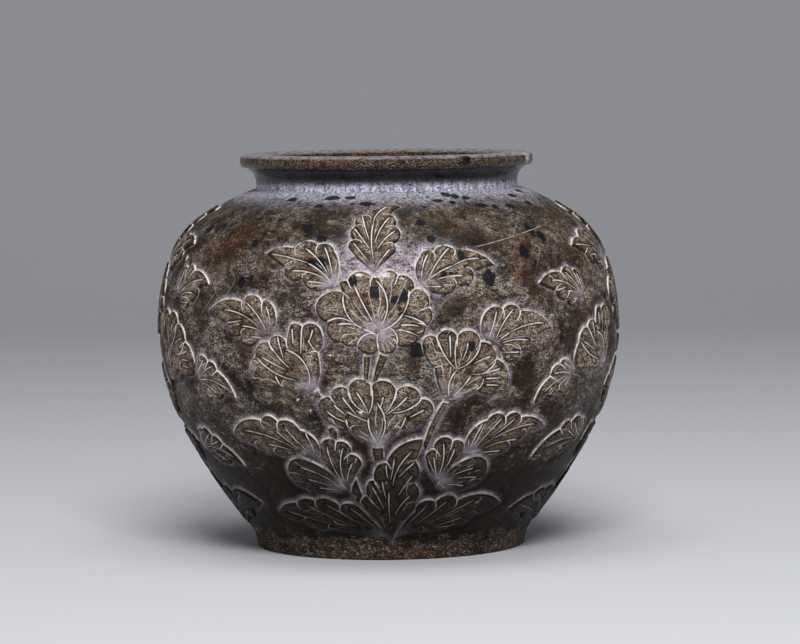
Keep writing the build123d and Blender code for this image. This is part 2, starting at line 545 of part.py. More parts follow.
def tangent_plane(turn, share):
    """Plane lying on the wall, its x round the jar and its y up the wall."""
    up = wall_point(turn, share + slope_share) - wall_point(turn, share - slope_share)
    across = Vector(cos(radians(turn)), sin(radians(turn)), 0)
    return Plane(origin=wall_point(turn, share), x_dir=across, z_dir=across.cross(up))


def middle(rows):
    turns = [turn for turn, share in rows]
    shares = [share for turn, share in rows]
    return (min(turns) + max(turns)) / 2, (min(shares) + max(shares)) / 2


def flattened(plane, rows):
    """Rows of a motif as points on its tangent plane."""
    spots = [plane.to_local_coords(wall_point(*row)) for row in rows]
    return [(spot.X, spot.Y) for spot in spots]


def drawn_face(points):
    """Face bounded by arcs: corner, point passed through, corner, and so on round."""
    arcs = []
    for i in range(0, len(points), 2):
        arcs.append(ThreePointArc(points[i], points[i + 1], points[(i + 2) % len(points)]))
    return make_face(arcs)


def cut_line(points, width):
    """Lens-shaped cut from start to end, as wide as asked at its middle."""
    start, through, end = [Vector(x, y) for x, y in points]
    across = (end - start).normalized().rotate(Axis.Z, quarter_turn) * (width / 2)
    return make_face([
        ThreePointArc(start, through + across, end),
        ThreePointArc(end, through - across, start),
    ])


def pushed(plane, face):
    """Prism of a face drawn on a tangent plane, reaching through the wall's skin."""
    back = prism_in_share * belly_radius
    reach = back + prism_out_share * belly_radius
    return extrude(plane.offset(-back) * face, amount=reach, dir=plane.z_dir)


def motif(rows, lines, width, skins):
    whole_skin, upper_skin = skins
    plane = tangent_plane(*middle(rows))
    body = pushed(plane, drawn_face(flattened(plane, rows))) & whole_skin
    if lines:
        cuts = Sketch() + [cut_line(flattened(plane, line), width) for line in lines]
        body -= pushed(plane, cuts) & upper_skin
    return body


def carried(rows, move):
    """Rows turned and sized about a drawn root, then set down at another root."""
    (turn_0, share_0), (turn_1, share_1), angle, size = move
    degrees_per_share = degrees(wall_height / belly_radius)
    across = size * cos(radians(angle))
    lift = size * sin(radians(angle))
    placed = []
    for turn, share in rows:
        x = (turn - turn_0) / degrees_per_share
        y = share - share_0
        placed.append((
            turn_1 + (across * x - lift * y) * degrees_per_share,
            share_1 + lift * x + across * y,
        ))
    return placed


def spray_parts(side):
    """Which motifs each part of a spray is made of."""
    parts = {name: [name] for name in single_motifs}
    parts["lower_left_leaves"] = ["lower_left_leaf"]
    parts["lower_right_leaves"] = ["lower_right_leaf"]
    if side:
        parts["lower_left_leaves"] += ["drooping_left_leaf", "lower_left_sprig"]
        parts["lower_right_leaves"] += ["drooping_right_leaf", "lower_right_sprig"]
    else:
        parts["lower_left_leaves"] += ["lower_left_sprig", "lower_left_tongue"]
        parts["lower_right_leaves"] += ["lower_right_sprig", "lower_right_tongue"]
    parts["base_leaves"] = ["base_leaf", "base_left_leaf", "base_right_leaf"]
    return parts


def spray(side, skins):
    """The thirteen parts of one spray, modelled at the front."""
    made = {}
    for part, names in spray_parts(side).items():
        bodies = []
        for name in names:
            rows, lines, width = motifs[name]
            if side:
                move = side_move_shares[name]
                rows = carried(rows, move)
                lines = [carried(line, move) for line in lines]
            bodies.append(motif(rows, lines, width, skins))
        made[part] = Part() + bodies
    stems = side_stem_shares if side else stem_shares
    made["stems"] = Part() + [motif(rows, [], vein_width, skins) for rows in stems]
    return made


def write(name, shape):
    export_step(shape, os.path.join("parts", name + ".step"))


os.makedirs("parts", exist_ok=True)

whole_wall = wall()
belly_joint = Plane.XY.offset(belly_joint_height)
write("foot_ring", foot_ring())
write("base_disc", base_disc())
write("lower_wall", split(whole_wall, bisect_by=belly_joint, keep=Keep.BOTTOM))
write("upper_wall", split(whole_wall, bisect_by=belly_joint, keep=Keep.TOP))
write("neck", neck())
write("lip", lip())

relief_skins = (band(0, relief_height), band(groove_floor, 2 * relief_height))
for side, places in ((False, (("front", 0), ("back", half_turn))),
                     (True, (("right", quarter_turn), ("left", -quarter_turn)))):
    for part, body in spray(side, relief_skins).items():
        for place, turn in places:
            write(place + "_" + part, Rot(0, 0, turn) * body)
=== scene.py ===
import bpy
import math
import numpy as np
from mathutils import Matrix, Vector, geometry


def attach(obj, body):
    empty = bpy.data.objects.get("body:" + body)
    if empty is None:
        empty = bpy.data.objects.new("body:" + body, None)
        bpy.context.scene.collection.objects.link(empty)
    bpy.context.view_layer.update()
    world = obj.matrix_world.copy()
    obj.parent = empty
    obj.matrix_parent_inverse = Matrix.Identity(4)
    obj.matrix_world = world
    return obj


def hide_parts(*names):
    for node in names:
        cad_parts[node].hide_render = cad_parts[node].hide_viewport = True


# Storage jar of the martaban kind, dressed for its looks. Lengths in this script are millimetres in
# the CAD frame until a mesh is made, and metres in Blender. Turns are degrees round the jar, 0 at the
# front (-Y) and growing towards +X.
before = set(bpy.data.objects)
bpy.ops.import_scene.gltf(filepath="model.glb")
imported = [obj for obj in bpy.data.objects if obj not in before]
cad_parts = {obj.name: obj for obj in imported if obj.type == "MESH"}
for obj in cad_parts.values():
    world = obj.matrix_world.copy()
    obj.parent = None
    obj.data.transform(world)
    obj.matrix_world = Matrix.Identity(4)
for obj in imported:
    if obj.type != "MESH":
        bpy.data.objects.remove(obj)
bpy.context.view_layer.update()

MM = 0.001
degree = math.pi / 180

# Sizes of the body, as in the CAD model
belly_radius = 118.8
wall_height = 185.5
wall_thickness = 7.0
belly_joint_height = 118.0
foot_radius = 69.8
foot_top_radius = 71.0
foot_height = 7.5
base_radius = 60.0
base_underside = 3.0
base_top = 12.0
neck_radius = 68.0
neck_waist_radius = 67.8
neck_waist_height = 189.5
mouth_radius = 61.8
lip_joint_height = 197.0
lip_underside_radius = 75.0
lip_radius = 76.0
lip_edge_low = 199.2
lip_edge_high = 202.0
lip_crest_height = 203.7
lip_crest_radius = 70.6
lip_inner_height = 201.6
relief_height = 1.25
wall_start_lean = 59.5
inner_shoulder_share = 0.970
wall_shares = [
    (0.6683, 0.1083),
    (0.8828, 0.3241),
    (0.9983, 0.5928),
    (0.9453, 0.8101),
    (0.7969, 0.9276),
]

# Cut lines: half their width at the widest, and their depth
vein_half = 0.47
petal_line_half = 0.55
vein_depth = 0.30
notch_half = 0.50
notch_depth = 0.62

# Motifs of a spray: half width of the cut lines, outline and cut lines. Places are (turn round the jar
# in degrees, share of the wall height), turn 0 at the middle of the spray. An outline goes corner,
# point passed through, corner and so on, and a cut line has its start, its middle and its end.
motif_shares = {
    "crown_leaf": (vein_half, [
        (-3.2, 0.797), (-6.8, 0.8265), (-10.1, 0.862), (-10.1, 0.8755), (-8.9, 0.8815),
        (-10.25, 0.9015), (-8.6, 0.9175), (-9.4, 0.934), (-6.4, 0.9415), (-5.2, 0.952), (-0.6, 0.9635),
        (2.0, 0.9655), (4.9, 0.963), (2.3, 0.953), (1.4, 0.9425), (2.9, 0.930), (2.3, 0.9145),
        (3.9, 0.899), (1.8, 0.8705), (2.4, 0.856), (1.3, 0.842), (-0.9, 0.821),
    ], [
        ((-9.0, 0.873), (-6.8, 0.850), (-4.7, 0.826)), ((-9.4, 0.910), (-7.0, 0.887), (-4.7, 0.860)),
        ((-7.6, 0.940), (-6.1, 0.910), (-4.7, 0.880)), ((0.4, 0.9615), (-2.7, 0.946), (-3.8, 0.925)),
        ((-3.8, 0.924), (-4.1, 0.880), (-3.4, 0.830)), ((1.1, 0.936), (-1.5, 0.910), (-3.1, 0.874)),
        ((2.5, 0.902), (-0.4, 0.882), (-2.4, 0.857)), ((0.9, 0.857), (-1.0, 0.835), (-2.4, 0.815)),
    ]),
    "upper_left_leaf": (vein_half, [
        (-12.9, 0.770), (-12.1, 0.808), (-13.7, 0.853), (-16.4, 0.872), (-18.5, 0.868), (-22.2, 0.8775),
        (-24.8, 0.860), (-28.2, 0.8625), (-33.1, 0.8445), (-30.3, 0.829), (-26.8, 0.810),
        (-25.9, 0.786), (-21.5, 0.781), (-19.6, 0.756), (-14.6, 0.7575), (-13.4, 0.762),
    ], [
        ((-16.6, 0.863), (-14.9, 0.833), (-13.6, 0.788)), ((-21.9, 0.859), (-18.4, 0.836), (-15.0, 0.797)),
        ((-31.4, 0.8425), (-26.5, 0.836), (-20.6, 0.822)), ((-20.4, 0.821), (-17.0, 0.802), (-13.9, 0.773)),
        ((-24.6, 0.800), (-19.6, 0.797), (-15.6, 0.781)), ((-19.9, 0.773), (-17.6, 0.772), (-15.2, 0.768)),
    ]),
    "upper_right_leaf": (vein_half, [
        (8.0, 0.768), (7.0, 0.797), (8.6, 0.838), (10.6, 0.853), (12.1, 0.8465), (15.3, 0.8635),
        (17.9, 0.8525), (22.6, 0.847), (28.2, 0.808), (25.3, 0.803), (22.0, 0.7925), (21.5, 0.771),
        (17.2, 0.763), (16.2, 0.7455), (12.6, 0.7385), (10.4, 0.7455),
    ], [
        ((10.6, 0.842), (9.0, 0.812), (8.5, 0.782)), ((16.6, 0.858), (12.9, 0.823), (10.2, 0.780)),
        ((24.2, 0.826), (20.5, 0.825), (17.0, 0.812)), ((16.8, 0.811), (12.6, 0.793), (9.1, 0.768)),
        ((19.2, 0.783), (15.8, 0.784), (12.6, 0.777)), ((13.4, 0.7575), (11.4, 0.758), (9.4, 0.759)),
    ]),
    "main_blossom": (petal_line_half, [
        (-2.2, 0.594), (-4.6, 0.583), (-7.2, 0.607), (-9.4, 0.605), (-11.2, 0.617), (-13.9, 0.627),
        (-14.7, 0.652), (-14.5, 0.660), (-14.6, 0.668), (-17.1, 0.690), (-15.3, 0.741), (-13.2, 0.7505),
        (-11.0, 0.747), (-11.4, 0.758), (-11.9, 0.773), (-10.9, 0.777), (-9.8, 0.778), (-7.2, 0.8005),
        (-3.7, 0.786), (-2.8, 0.785), (-1.9, 0.786), (0.1, 0.803), (2.7, 0.789), (5.4, 0.785),
        (6.6, 0.754), (9.6, 0.740), (9.9, 0.7055), (10.8, 0.688), (9.1, 0.657), (8.6, 0.635),
        (6.9, 0.617), (4.7, 0.603), (2.1, 0.607), (0.4, 0.5845),
    ], [
        ((-8.2, 0.768), (-5.6, 0.711), (-2.6, 0.654)), ((-3.0, 0.778), (-0.3, 0.735), (-2.0, 0.654)),
        ((-10.6, 0.744), (-10.0, 0.697), (-6.0, 0.652)), ((-5.8, 0.650), (-4.4, 0.645), (-3.0, 0.637)),
        ((5.2, 0.752), (4.9, 0.720), (3.9, 0.694)), ((3.7, 0.691), (1.6, 0.664), (-1.6, 0.646)),
        ((-14.4, 0.668), (-11.6, 0.679), (-8.8, 0.669)), ((9.0, 0.659), (6.6, 0.675), (4.2, 0.684)),
        ((-7.2, 0.609), (-5.8, 0.632), (-3.2, 0.639)), ((2.1, 0.609), (2.0, 0.634), (0.6, 0.652)),
        ((-2.2, 0.597), (-2.5, 0.618), (-2.4, 0.637)), ((-11.9, 0.662), (-9.2, 0.664), (-6.8, 0.658)),
        ((3.0, 0.659), (5.2, 0.660), (7.2, 0.656)), ((2.2, 0.648), (4.6, 0.643), (7.0, 0.631)),
    ]),
    "left_blossom": (petal_line_half, [
        (-18.4, 0.486), (-22.5, 0.4795), (-26.5, 0.492), (-31.0, 0.4905), (-34.6, 0.498),
        (-35.4, 0.520), (-33.7, 0.574), (-32.3, 0.607), (-29.5, 0.612), (-27.2, 0.632), (-24.9, 0.6125),
        (-24.4, 0.640), (-23.9, 0.660), (-22.4, 0.665), (-20.7, 0.656), (-18.4, 0.666), (-15.8, 0.641),
        (-15.5, 0.622), (-16.9, 0.588), (-16.5, 0.545), (-17.6, 0.499), (-17.9, 0.491),
    ], [
        ((-29.4, 0.610), (-27.2, 0.577), (-24.4, 0.547)), ((-33.3, 0.574), (-29.0, 0.536), (-22.8, 0.513)),
        ((-25.2, 0.594), (-21.2, 0.572), (-19.4, 0.500)), ((-20.75, 0.655), (-20.9, 0.62), (-21.1, 0.585)),
        ((-19.2, 0.622), (-18.1, 0.602), (-16.9, 0.588)), ((-28.2, 0.524), (-27.6, 0.508), (-26.7, 0.4945)),
        ((-27.1, 0.629), (-26.5, 0.602), (-25.8, 0.576)), ((-31.9, 0.574), (-28.7, 0.557), (-25.4, 0.541)),
        ((-23.2, 0.651), (-23.1, 0.630), (-23.0, 0.612)), ((-18.0, 0.649), (-18.3, 0.636), (-18.7, 0.624)),
    ]),
    "right_blossom": (petal_line_half, [
        (13.4, 0.463), (11.8, 0.504), (11.1, 0.543), (9.0, 0.571), (8.2, 0.601), (9.9, 0.632),
        (11.6, 0.6255), (13.7, 0.645), (16.6, 0.6265), (19.6, 0.642), (22.5, 0.610), (25.6, 0.597),
        (26.7, 0.562), (30.0, 0.531), (29.7, 0.476), (26.6, 0.465), (21.8, 0.4795), (18.5, 0.461),
        (15.0, 0.453), (14.2, 0.456),
    ], [
        ((11.6, 0.6245), (13.2, 0.582), (16.0, 0.543)), ((16.6, 0.6255), (16.0, 0.590), (16.4, 0.546)),
        ((22.4, 0.608), (20.6, 0.566), (16.8, 0.541)), ((16.6, 0.538), (14.9, 0.510), (14.9, 0.468)),
        ((26.6, 0.561), (24.6, 0.533), (20.6, 0.525)), ((20.2, 0.522), (18.8, 0.500), (16.0, 0.468)),
        ((23.5, 0.512), (23.0, 0.495), (21.9, 0.481)), ((14.7, 0.632), (14.8, 0.602), (14.9, 0.574)),
        ((19.1, 0.610), (18.8, 0.588), (17.9, 0.566)), ((25.2, 0.570), (23.0, 0.563), (21.0, 0.553)),
        ((28.0, 0.537), (25.8, 0.531), (23.4, 0.524)), ((24.0, 0.511), (25.8, 0.511), (27.6, 0.511)),
        ((24.2, 0.494), (25.8, 0.493), (27.4, 0.491)),
    ]),
    "middle_blossom": (petal_line_half, [
        (-4.6, 0.337), (-7.4, 0.353), (-10.0, 0.380), (-15.7, 0.399), (-17.8, 0.440), (-16.9, 0.462),
        (-14.4, 0.470), (-12.7, 0.495), (-9.8, 0.491), (-7.2, 0.5185), (-4.2, 0.498), (-1.5, 0.5145),
        (1.9, 0.4855), (5.0, 0.498), (7.9, 0.462), (10.4, 0.453), (10.9, 0.421), (8.2, 0.392),
        (2.8, 0.379), (0.6, 0.356), (-1.7, 0.337), (-3.1, 0.334),
    ], [
        ((-4.1, 0.496), (-3.9, 0.466), (-4.9, 0.426)), ((-5.1, 0.414), (-5.0, 0.382), (-3.4, 0.348)),
        ((-3.1, 0.456), (-1.2, 0.418), (-2.5, 0.350)), ((-9.9, 0.488), (-8.9, 0.457), (-5.4, 0.427)),
        ((-10.7, 0.433), (-8.2, 0.417), (-5.4, 0.404)), ((-10.7, 0.410), (-10.7, 0.398), (-10.1, 0.382)),
        ((1.8, 0.484), (1.1, 0.458), (-0.8, 0.426)), ((4.6, 0.470), (2.1, 0.443), (-0.4, 0.424)),
        ((7.1, 0.452), (4.6, 0.434), (1.0, 0.426)), ((4.2, 0.415), (3.6, 0.397), (2.8, 0.381)),
        ((8.9, 0.433), (7.2, 0.424), (5.4, 0.414)), ((-15.7, 0.434), (-13.4, 0.413), (-11.0, 0.402)),
        ((-13.7, 0.449), (-12.2, 0.434), (-10.8, 0.421)), ((-11.4, 0.471), (-9.9, 0.447), (-8.4, 0.427)),
        ((-7.9, 0.485), (-6.4, 0.457), (-5.3, 0.431)), ((-1.3, 0.471), (-1.6, 0.458), (-1.9, 0.446)),
    ]),
    "mid_left_leaf": (vein_half, [
        (-29.5, 0.633), (-27.7, 0.672), (-30.0, 0.721), (-31.1, 0.724), (-31.9, 0.714), (-35.6, 0.736),
        (-37.9, 0.717), (-42.8, 0.722), (-49.0, 0.689), (-46.3, 0.6735), (-42.4, 0.660), (-41.3, 0.632),
        (-37.8, 0.629), (-36.2, 0.600), (-33.2, 0.611), (-31.9, 0.6215),
    ], [
        ((-30.6, 0.708), (-29.7, 0.688), (-29.2, 0.660)), ((-36.5, 0.716), (-33.4, 0.689), (-30.4, 0.647)),
        ((-43.5, 0.694), (-37.8, 0.684), (-32.2, 0.651)), ((-42.2, 0.660), (-39.8, 0.663), (-37.8, 0.667)),
        ((-37.5, 0.653), (-34.8, 0.651), (-31.8, 0.641)), ((-34.9, 0.626), (-33.0, 0.625), (-31.2, 0.624)),
    ]),
    "mid_right_leaf": (vein_half, [
        (24.0, 0.612), (22.7, 0.652), (25.1, 0.697), (26.8, 0.702), (28.8, 0.693), (31.4, 0.705),
        (33.6, 0.6865), (37.7, 0.681), (43.4, 0.634), (41.0, 0.6305), (38.3, 0.619), (37.3, 0.592),
        (33.6, 0.580), (32.3, 0.5555), (28.6, 0.5605), (27.6, 0.588),
    ], [
        ((26.9, 0.690), (25.9, 0.655), (24.7, 0.622)), ((31.9, 0.694), (28.8, 0.660), (26.6, 0.618)),
        ((40.6, 0.650), (35.4, 0.648), (30.6, 0.632)), ((30.2, 0.630), (28.6, 0.621), (27.0, 0.609)),
        ((35.8, 0.606), (32.0, 0.611), (28.2, 0.604)), ((33.2, 0.5775), (31.0, 0.5775), (28.8, 0.579)),
    ]),
    "lower_left_leaf": (vein_half, [
        (-20.4, 0.298), (-19.9, 0.350), (-23.8, 0.3755), (-26.6, 0.402), (-29.8, 0.396), (-32.6, 0.413),
        (-35.0, 0.399), (-40.4, 0.397), (-46.4, 0.356), (-43.2, 0.336), (-39.5, 0.326), (-37.8, 0.309),
        (-33.4, 0.308), (-31.8, 0.2995), (-28.4, 0.3015), (-24.2, 0.3035),
    ], [
        ((-22.3, 0.370), (-21.4, 0.342), (-20.8, 0.316)), ((-27.9, 0.386), (-25.2, 0.344), (-21.6, 0.309)),
        ((-30.9, 0.374), (-28.4, 0.350), (-25.6, 0.325)), ((-41.8, 0.3675), (-34.6, 0.358), (-26.4, 0.324)),
        ((-34.8, 0.333), (-31.4, 0.328), (-27.4, 0.318)),
    ]),
    "lower_right_leaf": (vein_half, [
        (21.9, 0.303), (21.6, 0.364), (25.9, 0.396), (28.9, 0.4145), (31.3, 0.400), (34.0, 0.4135),
        (36.3, 0.398), (40.8, 0.395), (45.6, 0.366), (42.6, 0.357), (39.2, 0.3525), (38.4, 0.334),
        (34.8, 0.320), (32.6, 0.302), (28.9, 0.2985), (25.2, 0.3005),
    ], [
        ((24.6, 0.388), (23.3, 0.355), (22.3, 0.319)), ((30.2, 0.402), (26.8, 0.362), (23.8, 0.321)),
        ((34.3, 0.398), (31.2, 0.372), (28.0, 0.348)), ((41.4, 0.3765), (33.4, 0.365), (25.4, 0.323)),
        ((36.7, 0.336), (31.9, 0.334), (27.0, 0.319)), ((32.2, 0.3085), (29.0, 0.3075), (25.8, 0.3055)),
    ]),
    "lower_left_sprig": (vein_half, [
        (-13.6, 0.219), (-16.8, 0.2525), (-19.0, 0.283), (-19.2, 0.318), (-18.4, 0.340),
        (-16.6, 0.3535), (-14.2, 0.345), (-11.4, 0.3425), (-10.8, 0.3115), (-8.3, 0.299), (-8.5, 0.271),
        (-11.0, 0.241),
    ], [
        ((-16.9, 0.334), (-16.4, 0.286), (-14.2, 0.229)), ((-12.4, 0.331), (-13.9, 0.284), (-13.6, 0.233)),
        ((-10.3, 0.288), (-11.8, 0.262), (-12.9, 0.231)),
    ]),
    "lower_right_sprig": (vein_half, [
        (14.6, 0.226), (11.6, 0.258), (10.2, 0.294), (10.7, 0.3165), (12.4, 0.321), (14.1, 0.355),
        (17.1, 0.343), (19.8, 0.341), (20.1, 0.312), (18.6, 0.2815), (15.6, 0.241), (15.1, 0.232),
    ], [
        ((14.4, 0.340), (15.1, 0.295), (14.5, 0.250)), ((17.9, 0.323), (17.2, 0.294), (15.8, 0.262)),
        ((12.2, 0.302), (13.0, 0.272), (13.7, 0.247)),
    ]),
    "lower_left_tongue": (vein_half, [
        (-13.9, 0.211), (-18.4, 0.2625), (-24.6, 0.293), (-28.9, 0.288), (-30.9, 0.240), (-30.0, 0.221),
        (-27.0, 0.209), (-24.5, 0.196), (-20.5, 0.194), (-17.4, 0.1975),
    ], [
        ((-26.8, 0.271), (-21.4, 0.254), (-16.4, 0.227)), ((-25.4, 0.237), (-21.6, 0.229), (-17.8, 0.219)),
        ((-22.4, 0.213), (-19.4, 0.2105), (-16.4, 0.208)),
    ]),
    "lower_right_tongue": (vein_half, [
        (14.8, 0.218), (18.7, 0.2705), (23.2, 0.2925), (28.2, 0.285), (29.1, 0.238), (28.0, 0.220),
        (25.2, 0.209), (22.6, 0.197), (18.8, 0.1965), (16.4, 0.204),
    ], [
        ((25.0, 0.264), (21.8, 0.256), (18.6, 0.245)), ((27.2, 0.235), (23.8, 0.238), (20.2, 0.235)),
        ((23.4, 0.213), (20.4, 0.218), (17.4, 0.220)),
    ]),
    "base_leaf": (vein_half, [
        (0.5, 0.046), (-4.7, 0.1105), (-9.6, 0.160), (-12.0, 0.203), (-9.9, 0.241), (-9.3, 0.213),
        (-8.5, 0.1885), (-7.9, 0.1895), (-7.1, 0.188), (-7.4, 0.212), (-6.2, 0.234), (-5.4, 0.2365),
        (-4.6, 0.2345), (-4.6, 0.258), (-3.4, 0.280), (-2.2, 0.2855), (-0.8, 0.2875), (2.6, 0.3335),
        (9.0, 0.352), (8.3, 0.314), (7.3, 0.290), (8.7, 0.262), (7.3, 0.2265), (9.1, 0.206),
        (8.2, 0.170), (8.4, 0.153), (7.4, 0.1375), (3.8, 0.107),
    ], [
        ((6.4, 0.321), (2.9, 0.279), (0.9, 0.222)), ((7.0, 0.287), (4.8, 0.267), (2.6, 0.245)),
        ((-1.0, 0.281), (-0.9, 0.262), (-0.6, 0.243)), ((1.3, 0.300), (0.9, 0.268), (0.3, 0.240)),
        ((-2.3, 0.235), (-1.9, 0.210), (-1.3, 0.185)), ((6.7, 0.250), (4.5, 0.220), (2.5, 0.190)),
        ((6.4, 0.192), (3.8, 0.167), (1.6, 0.134)), ((-5.6, 0.222), (-3.8, 0.188), (-2.1, 0.152)),
        ((-6.9, 0.184), (-4.9, 0.165), (-3.1, 0.148)), ((-4.6, 0.232), (-3.7, 0.217), (-2.8, 0.201)),
        ((-0.3, 0.205), (-0.4, 0.160), (-0.1, 0.110)),
    ]),
    "base_left_leaf": (vein_half, [
        (-1.1, 0.0655), (-6.0, 0.113), (-10.3, 0.156), (-13.9, 0.1685), (-16.9, 0.159), (-21.2, 0.1805),
        (-25.3, 0.1715), (-29.0, 0.178), (-32.6, 0.164), (-37.8, 0.157), (-43.4, 0.128), (-38.0, 0.112),
        (-33.0, 0.108), (-28.6, 0.087), (-23.0, 0.090), (-12.4, 0.079),
    ], [
        ((-13.6, 0.156), (-10.0, 0.130), (-5.8, 0.099)), ((-21.8, 0.166), (-15.6, 0.132), (-8.8, 0.099)),
        ((-29.4, 0.162), (-21.4, 0.128), (-12.4, 0.098)), ((-38.4, 0.138), (-30.4, 0.122), (-22.0, 0.104)),
    ]),
    "base_right_leaf": (vein_half, [
        (1.7, 0.0655), (4.4, 0.103), (8.6, 0.143), (12.2, 0.1755), (15.0, 0.168), (18.8, 0.187),
        (22.4, 0.169), (30.2, 0.185), (40.3, 0.153), (36.2, 0.136), (31.4, 0.126), (28.4, 0.102),
        (23.4, 0.0995), (18.0, 0.083), (12.0, 0.084), (6.6, 0.0775),
    ], [
        ((12.4, 0.162), (9.4, 0.134), (5.8, 0.103)), ((19.0, 0.172), (14.2, 0.136), (9.2, 0.103)),
        ((29.0, 0.170), (21.4, 0.138), (12.6, 0.101)), ((26.6, 0.120), (21.4, 0.109), (15.6, 0.095)),
    ]),
}
stem_shares = [
    [(-5.8, 0.579), (-5.95, 0.548), (-6.0, 0.5185), (-5.4, 0.516),
     (-4.9, 0.513), (-4.5, 0.545), (-4.1, 0.579), (-4.95, 0.579)],
    [(-1.9, 0.587), (-3.0, 0.551), (-3.9, 0.5115), (-3.3, 0.5125),
     (-2.7, 0.514), (-1.2, 0.548), (0.2, 0.580), (-0.8, 0.580)],
    [(9.4, 0.351), (11.0, 0.404), (13.5, 0.453), (14.2, 0.450),
     (14.9, 0.447), (12.6, 0.395), (10.1, 0.318), (9.2, 0.333)],
    [(-18.4, 0.481), (-18.3, 0.473), (-17.7, 0.465), (-17.1, 0.4675),
     (-16.6, 0.4705), (-17.1, 0.481), (-17.3, 0.488), (-17.9, 0.484)],
    [(-15.8, 0.371), (-15.7, 0.383), (-14.9, 0.3855), (-14.1, 0.382),
     (-13.7, 0.364), (-13.8, 0.357), (-14.1, 0.352), (-15.3, 0.358)],
    [(-4.7, 0.330), (-4.6, 0.312), (-4.2, 0.290), (-2.9, 0.293),
     (-1.6, 0.295), (-1.6, 0.313), (-1.7, 0.330), (-3.2, 0.3285)],
]

# The side sprays use the same motifs, each turned and sized about its root and carried to its own
# root: (root drawn, root there, turn anticlockwise in degrees, size as a share of the drawn one)
side_move_shares = {
    "crown_leaf": ((-3.1, 0.797), (-1.0, 0.800), -8, 0.95),
    "upper_left_leaf": ((-12.6, 0.765), (-13.0, 0.792), 4, 0.88),
    "upper_right_leaf": ((8.2, 0.765), (9.0, 0.795), 10, 0.80),
    "main_blossom": ((-2.3, 0.643), (-1.0, 0.650), 0, 0.94),
    "left_blossom": ((-18.9, 0.487), (-22.0, 0.513), 2, 0.94),
    "right_blossom": ((14.6, 0.462), (18.4, 0.500), 0, 0.98),
    "middle_blossom": ((-3.1, 0.340), (-1.0, 0.356), 0, 0.96),
    "mid_left_leaf": ((-29.3, 0.631), (-33.6, 0.712), 1, 0.80),
    "mid_right_leaf": ((25.8, 0.604), (25.4, 0.722), 4, 0.80),
    "lower_left_leaf": ((-20.4, 0.296), (-21.8, 0.315), 20, 0.88),
    "lower_right_leaf": ((21.4, 0.300), (22.0, 0.300), -24, 0.82),
    "drooping_left_leaf": ((-29.3, 0.631), (-38.2, 0.505), 43, 0.69),
    "drooping_right_leaf": ((25.8, 0.604), (35.2, 0.500), -26, 0.77),
    "lower_left_sprig": ((-13.6, 0.219), (-11.6, 0.224), 0, 0.92),
    "lower_right_sprig": ((14.6, 0.226), (13.0, 0.222), 0, 0.92),
    "base_leaf": ((0.5, 0.046), (0.5, 0.046), 0, 0.96),
    "base_left_leaf": ((-1.1, 0.0655), (-1.1, 0.0655), 0, 1.0),
    "base_right_leaf": ((1.7, 0.0655), (1.7, 0.0655), 0, 1.0),
}
drawn_as = {"drooping_left_leaf": "mid_left_leaf", "drooping_right_leaf": "mid_right_leaf"}

# Stems of the side sprays, drawn where they stand
side_stem_shares = [
    [(-4.4, 0.590), (-4.6, 0.562), (-4.8, 0.537), (-4.3, 0.5345),
     (-3.8, 0.532), (-3.4, 0.560), (-2.9, 0.590), (-3.7, 0.5895)],
    [(12.4, 0.405), (13.8, 0.450), (16.6, 0.488), (17.4, 0.486),
     (18.2, 0.484), (15.8, 0.440), (13.6, 0.385), (12.9, 0.394)],
    [(-3.6, 0.344), (-3.5, 0.326), (-3.2, 0.300), (-1.6, 0.303),
     (0.2, 0.306), (0.3, 0.325), (0.4, 0.344), (-1.6, 0.342)],
]

# How the wall runs
arc_steps = 200


def meridian():
    """Length run, radius, height and lean at close steps along the wall's arcs, from foot to neck."""
    points = [(foot_top_radius, foot_height)]
    points += [(belly_radius * r, wall_height * h) for r, h in wall_shares]
    points += [(neck_radius, wall_height)]
    lean = math.radians(wall_start_lean)
    run = 0.0
    rows = []
    for (r, z), (r_next, z_next) in zip(points, points[1:]):
        bend = 2 * (math.atan2(z_next - z, r_next - r) - lean)
        arc_radius = math.hypot(r_next - r, z_next - z) / (2 * math.sin(bend / 2))
        steps = np.linspace(0, bend, arc_steps, endpoint=False)
        rows.append(np.stack([
            run + arc_radius * steps,
            r + arc_radius * (np.sin(lean + steps) - math.sin(lean)),
            z - arc_radius * (np.cos(lean + steps) - math.cos(lean)),
            lean + steps,
        ]))
        run += arc_radius * bend
        lean += bend
    rows.append(np.array([[run], [neck_radius], [wall_height], [lean]]))
    return np.concatenate(rows, axis=1)


runs, radii, heights, leans = meridian()


def run_at(height):
    return np.interp(height, heights, runs)


def on_wall(turn, run, out):
    """Points of the wall, moved outward: turn in degrees, run along the outline and out in mm."""
    lean = np.interp(run, runs, leans)
    radius = np.interp(run, runs, radii) + out * np.sin(lean)
    height = np.interp(run, runs, heights) - out * np.cos(lean)
    angle = turn * degree
    return np.stack([radius * np.sin(angle), -radius * np.cos(angle), height], axis=-1)


def smooth(value):
    value = np.clip(value, 0, 1)
    return value * value * (3 - 2 * value)


# Repeatable unevenness: a few sine waves in space, the same on every run
wave_dice = np.random.default_rng(7)
wave_sets = {}


def waves(points, size, count=14):
    """Smooth noise of about -1 to 1 over points in mm, with bumps of about the size given."""
    key = (size, count)
    if key not in wave_sets:
        ways = wave_dice.normal(size=(count, 3))
        ways /= np.linalg.norm(ways, axis=1)[:, None]
        speeds = 2 * math.pi / (size * wave_dice.uniform(1.2, 2.8, count))
        wave_sets[key] = (ways * speeds[:, None], wave_dice.uniform(0, 2 * math.pi, count))
    ways, starts = wave_sets[key]
    return np.sin(points @ ways.T + starts).sum(axis=1) / math.sqrt(count)


# Motif outlines and lines
beyond = 1e9                  # farther than anything on the jar


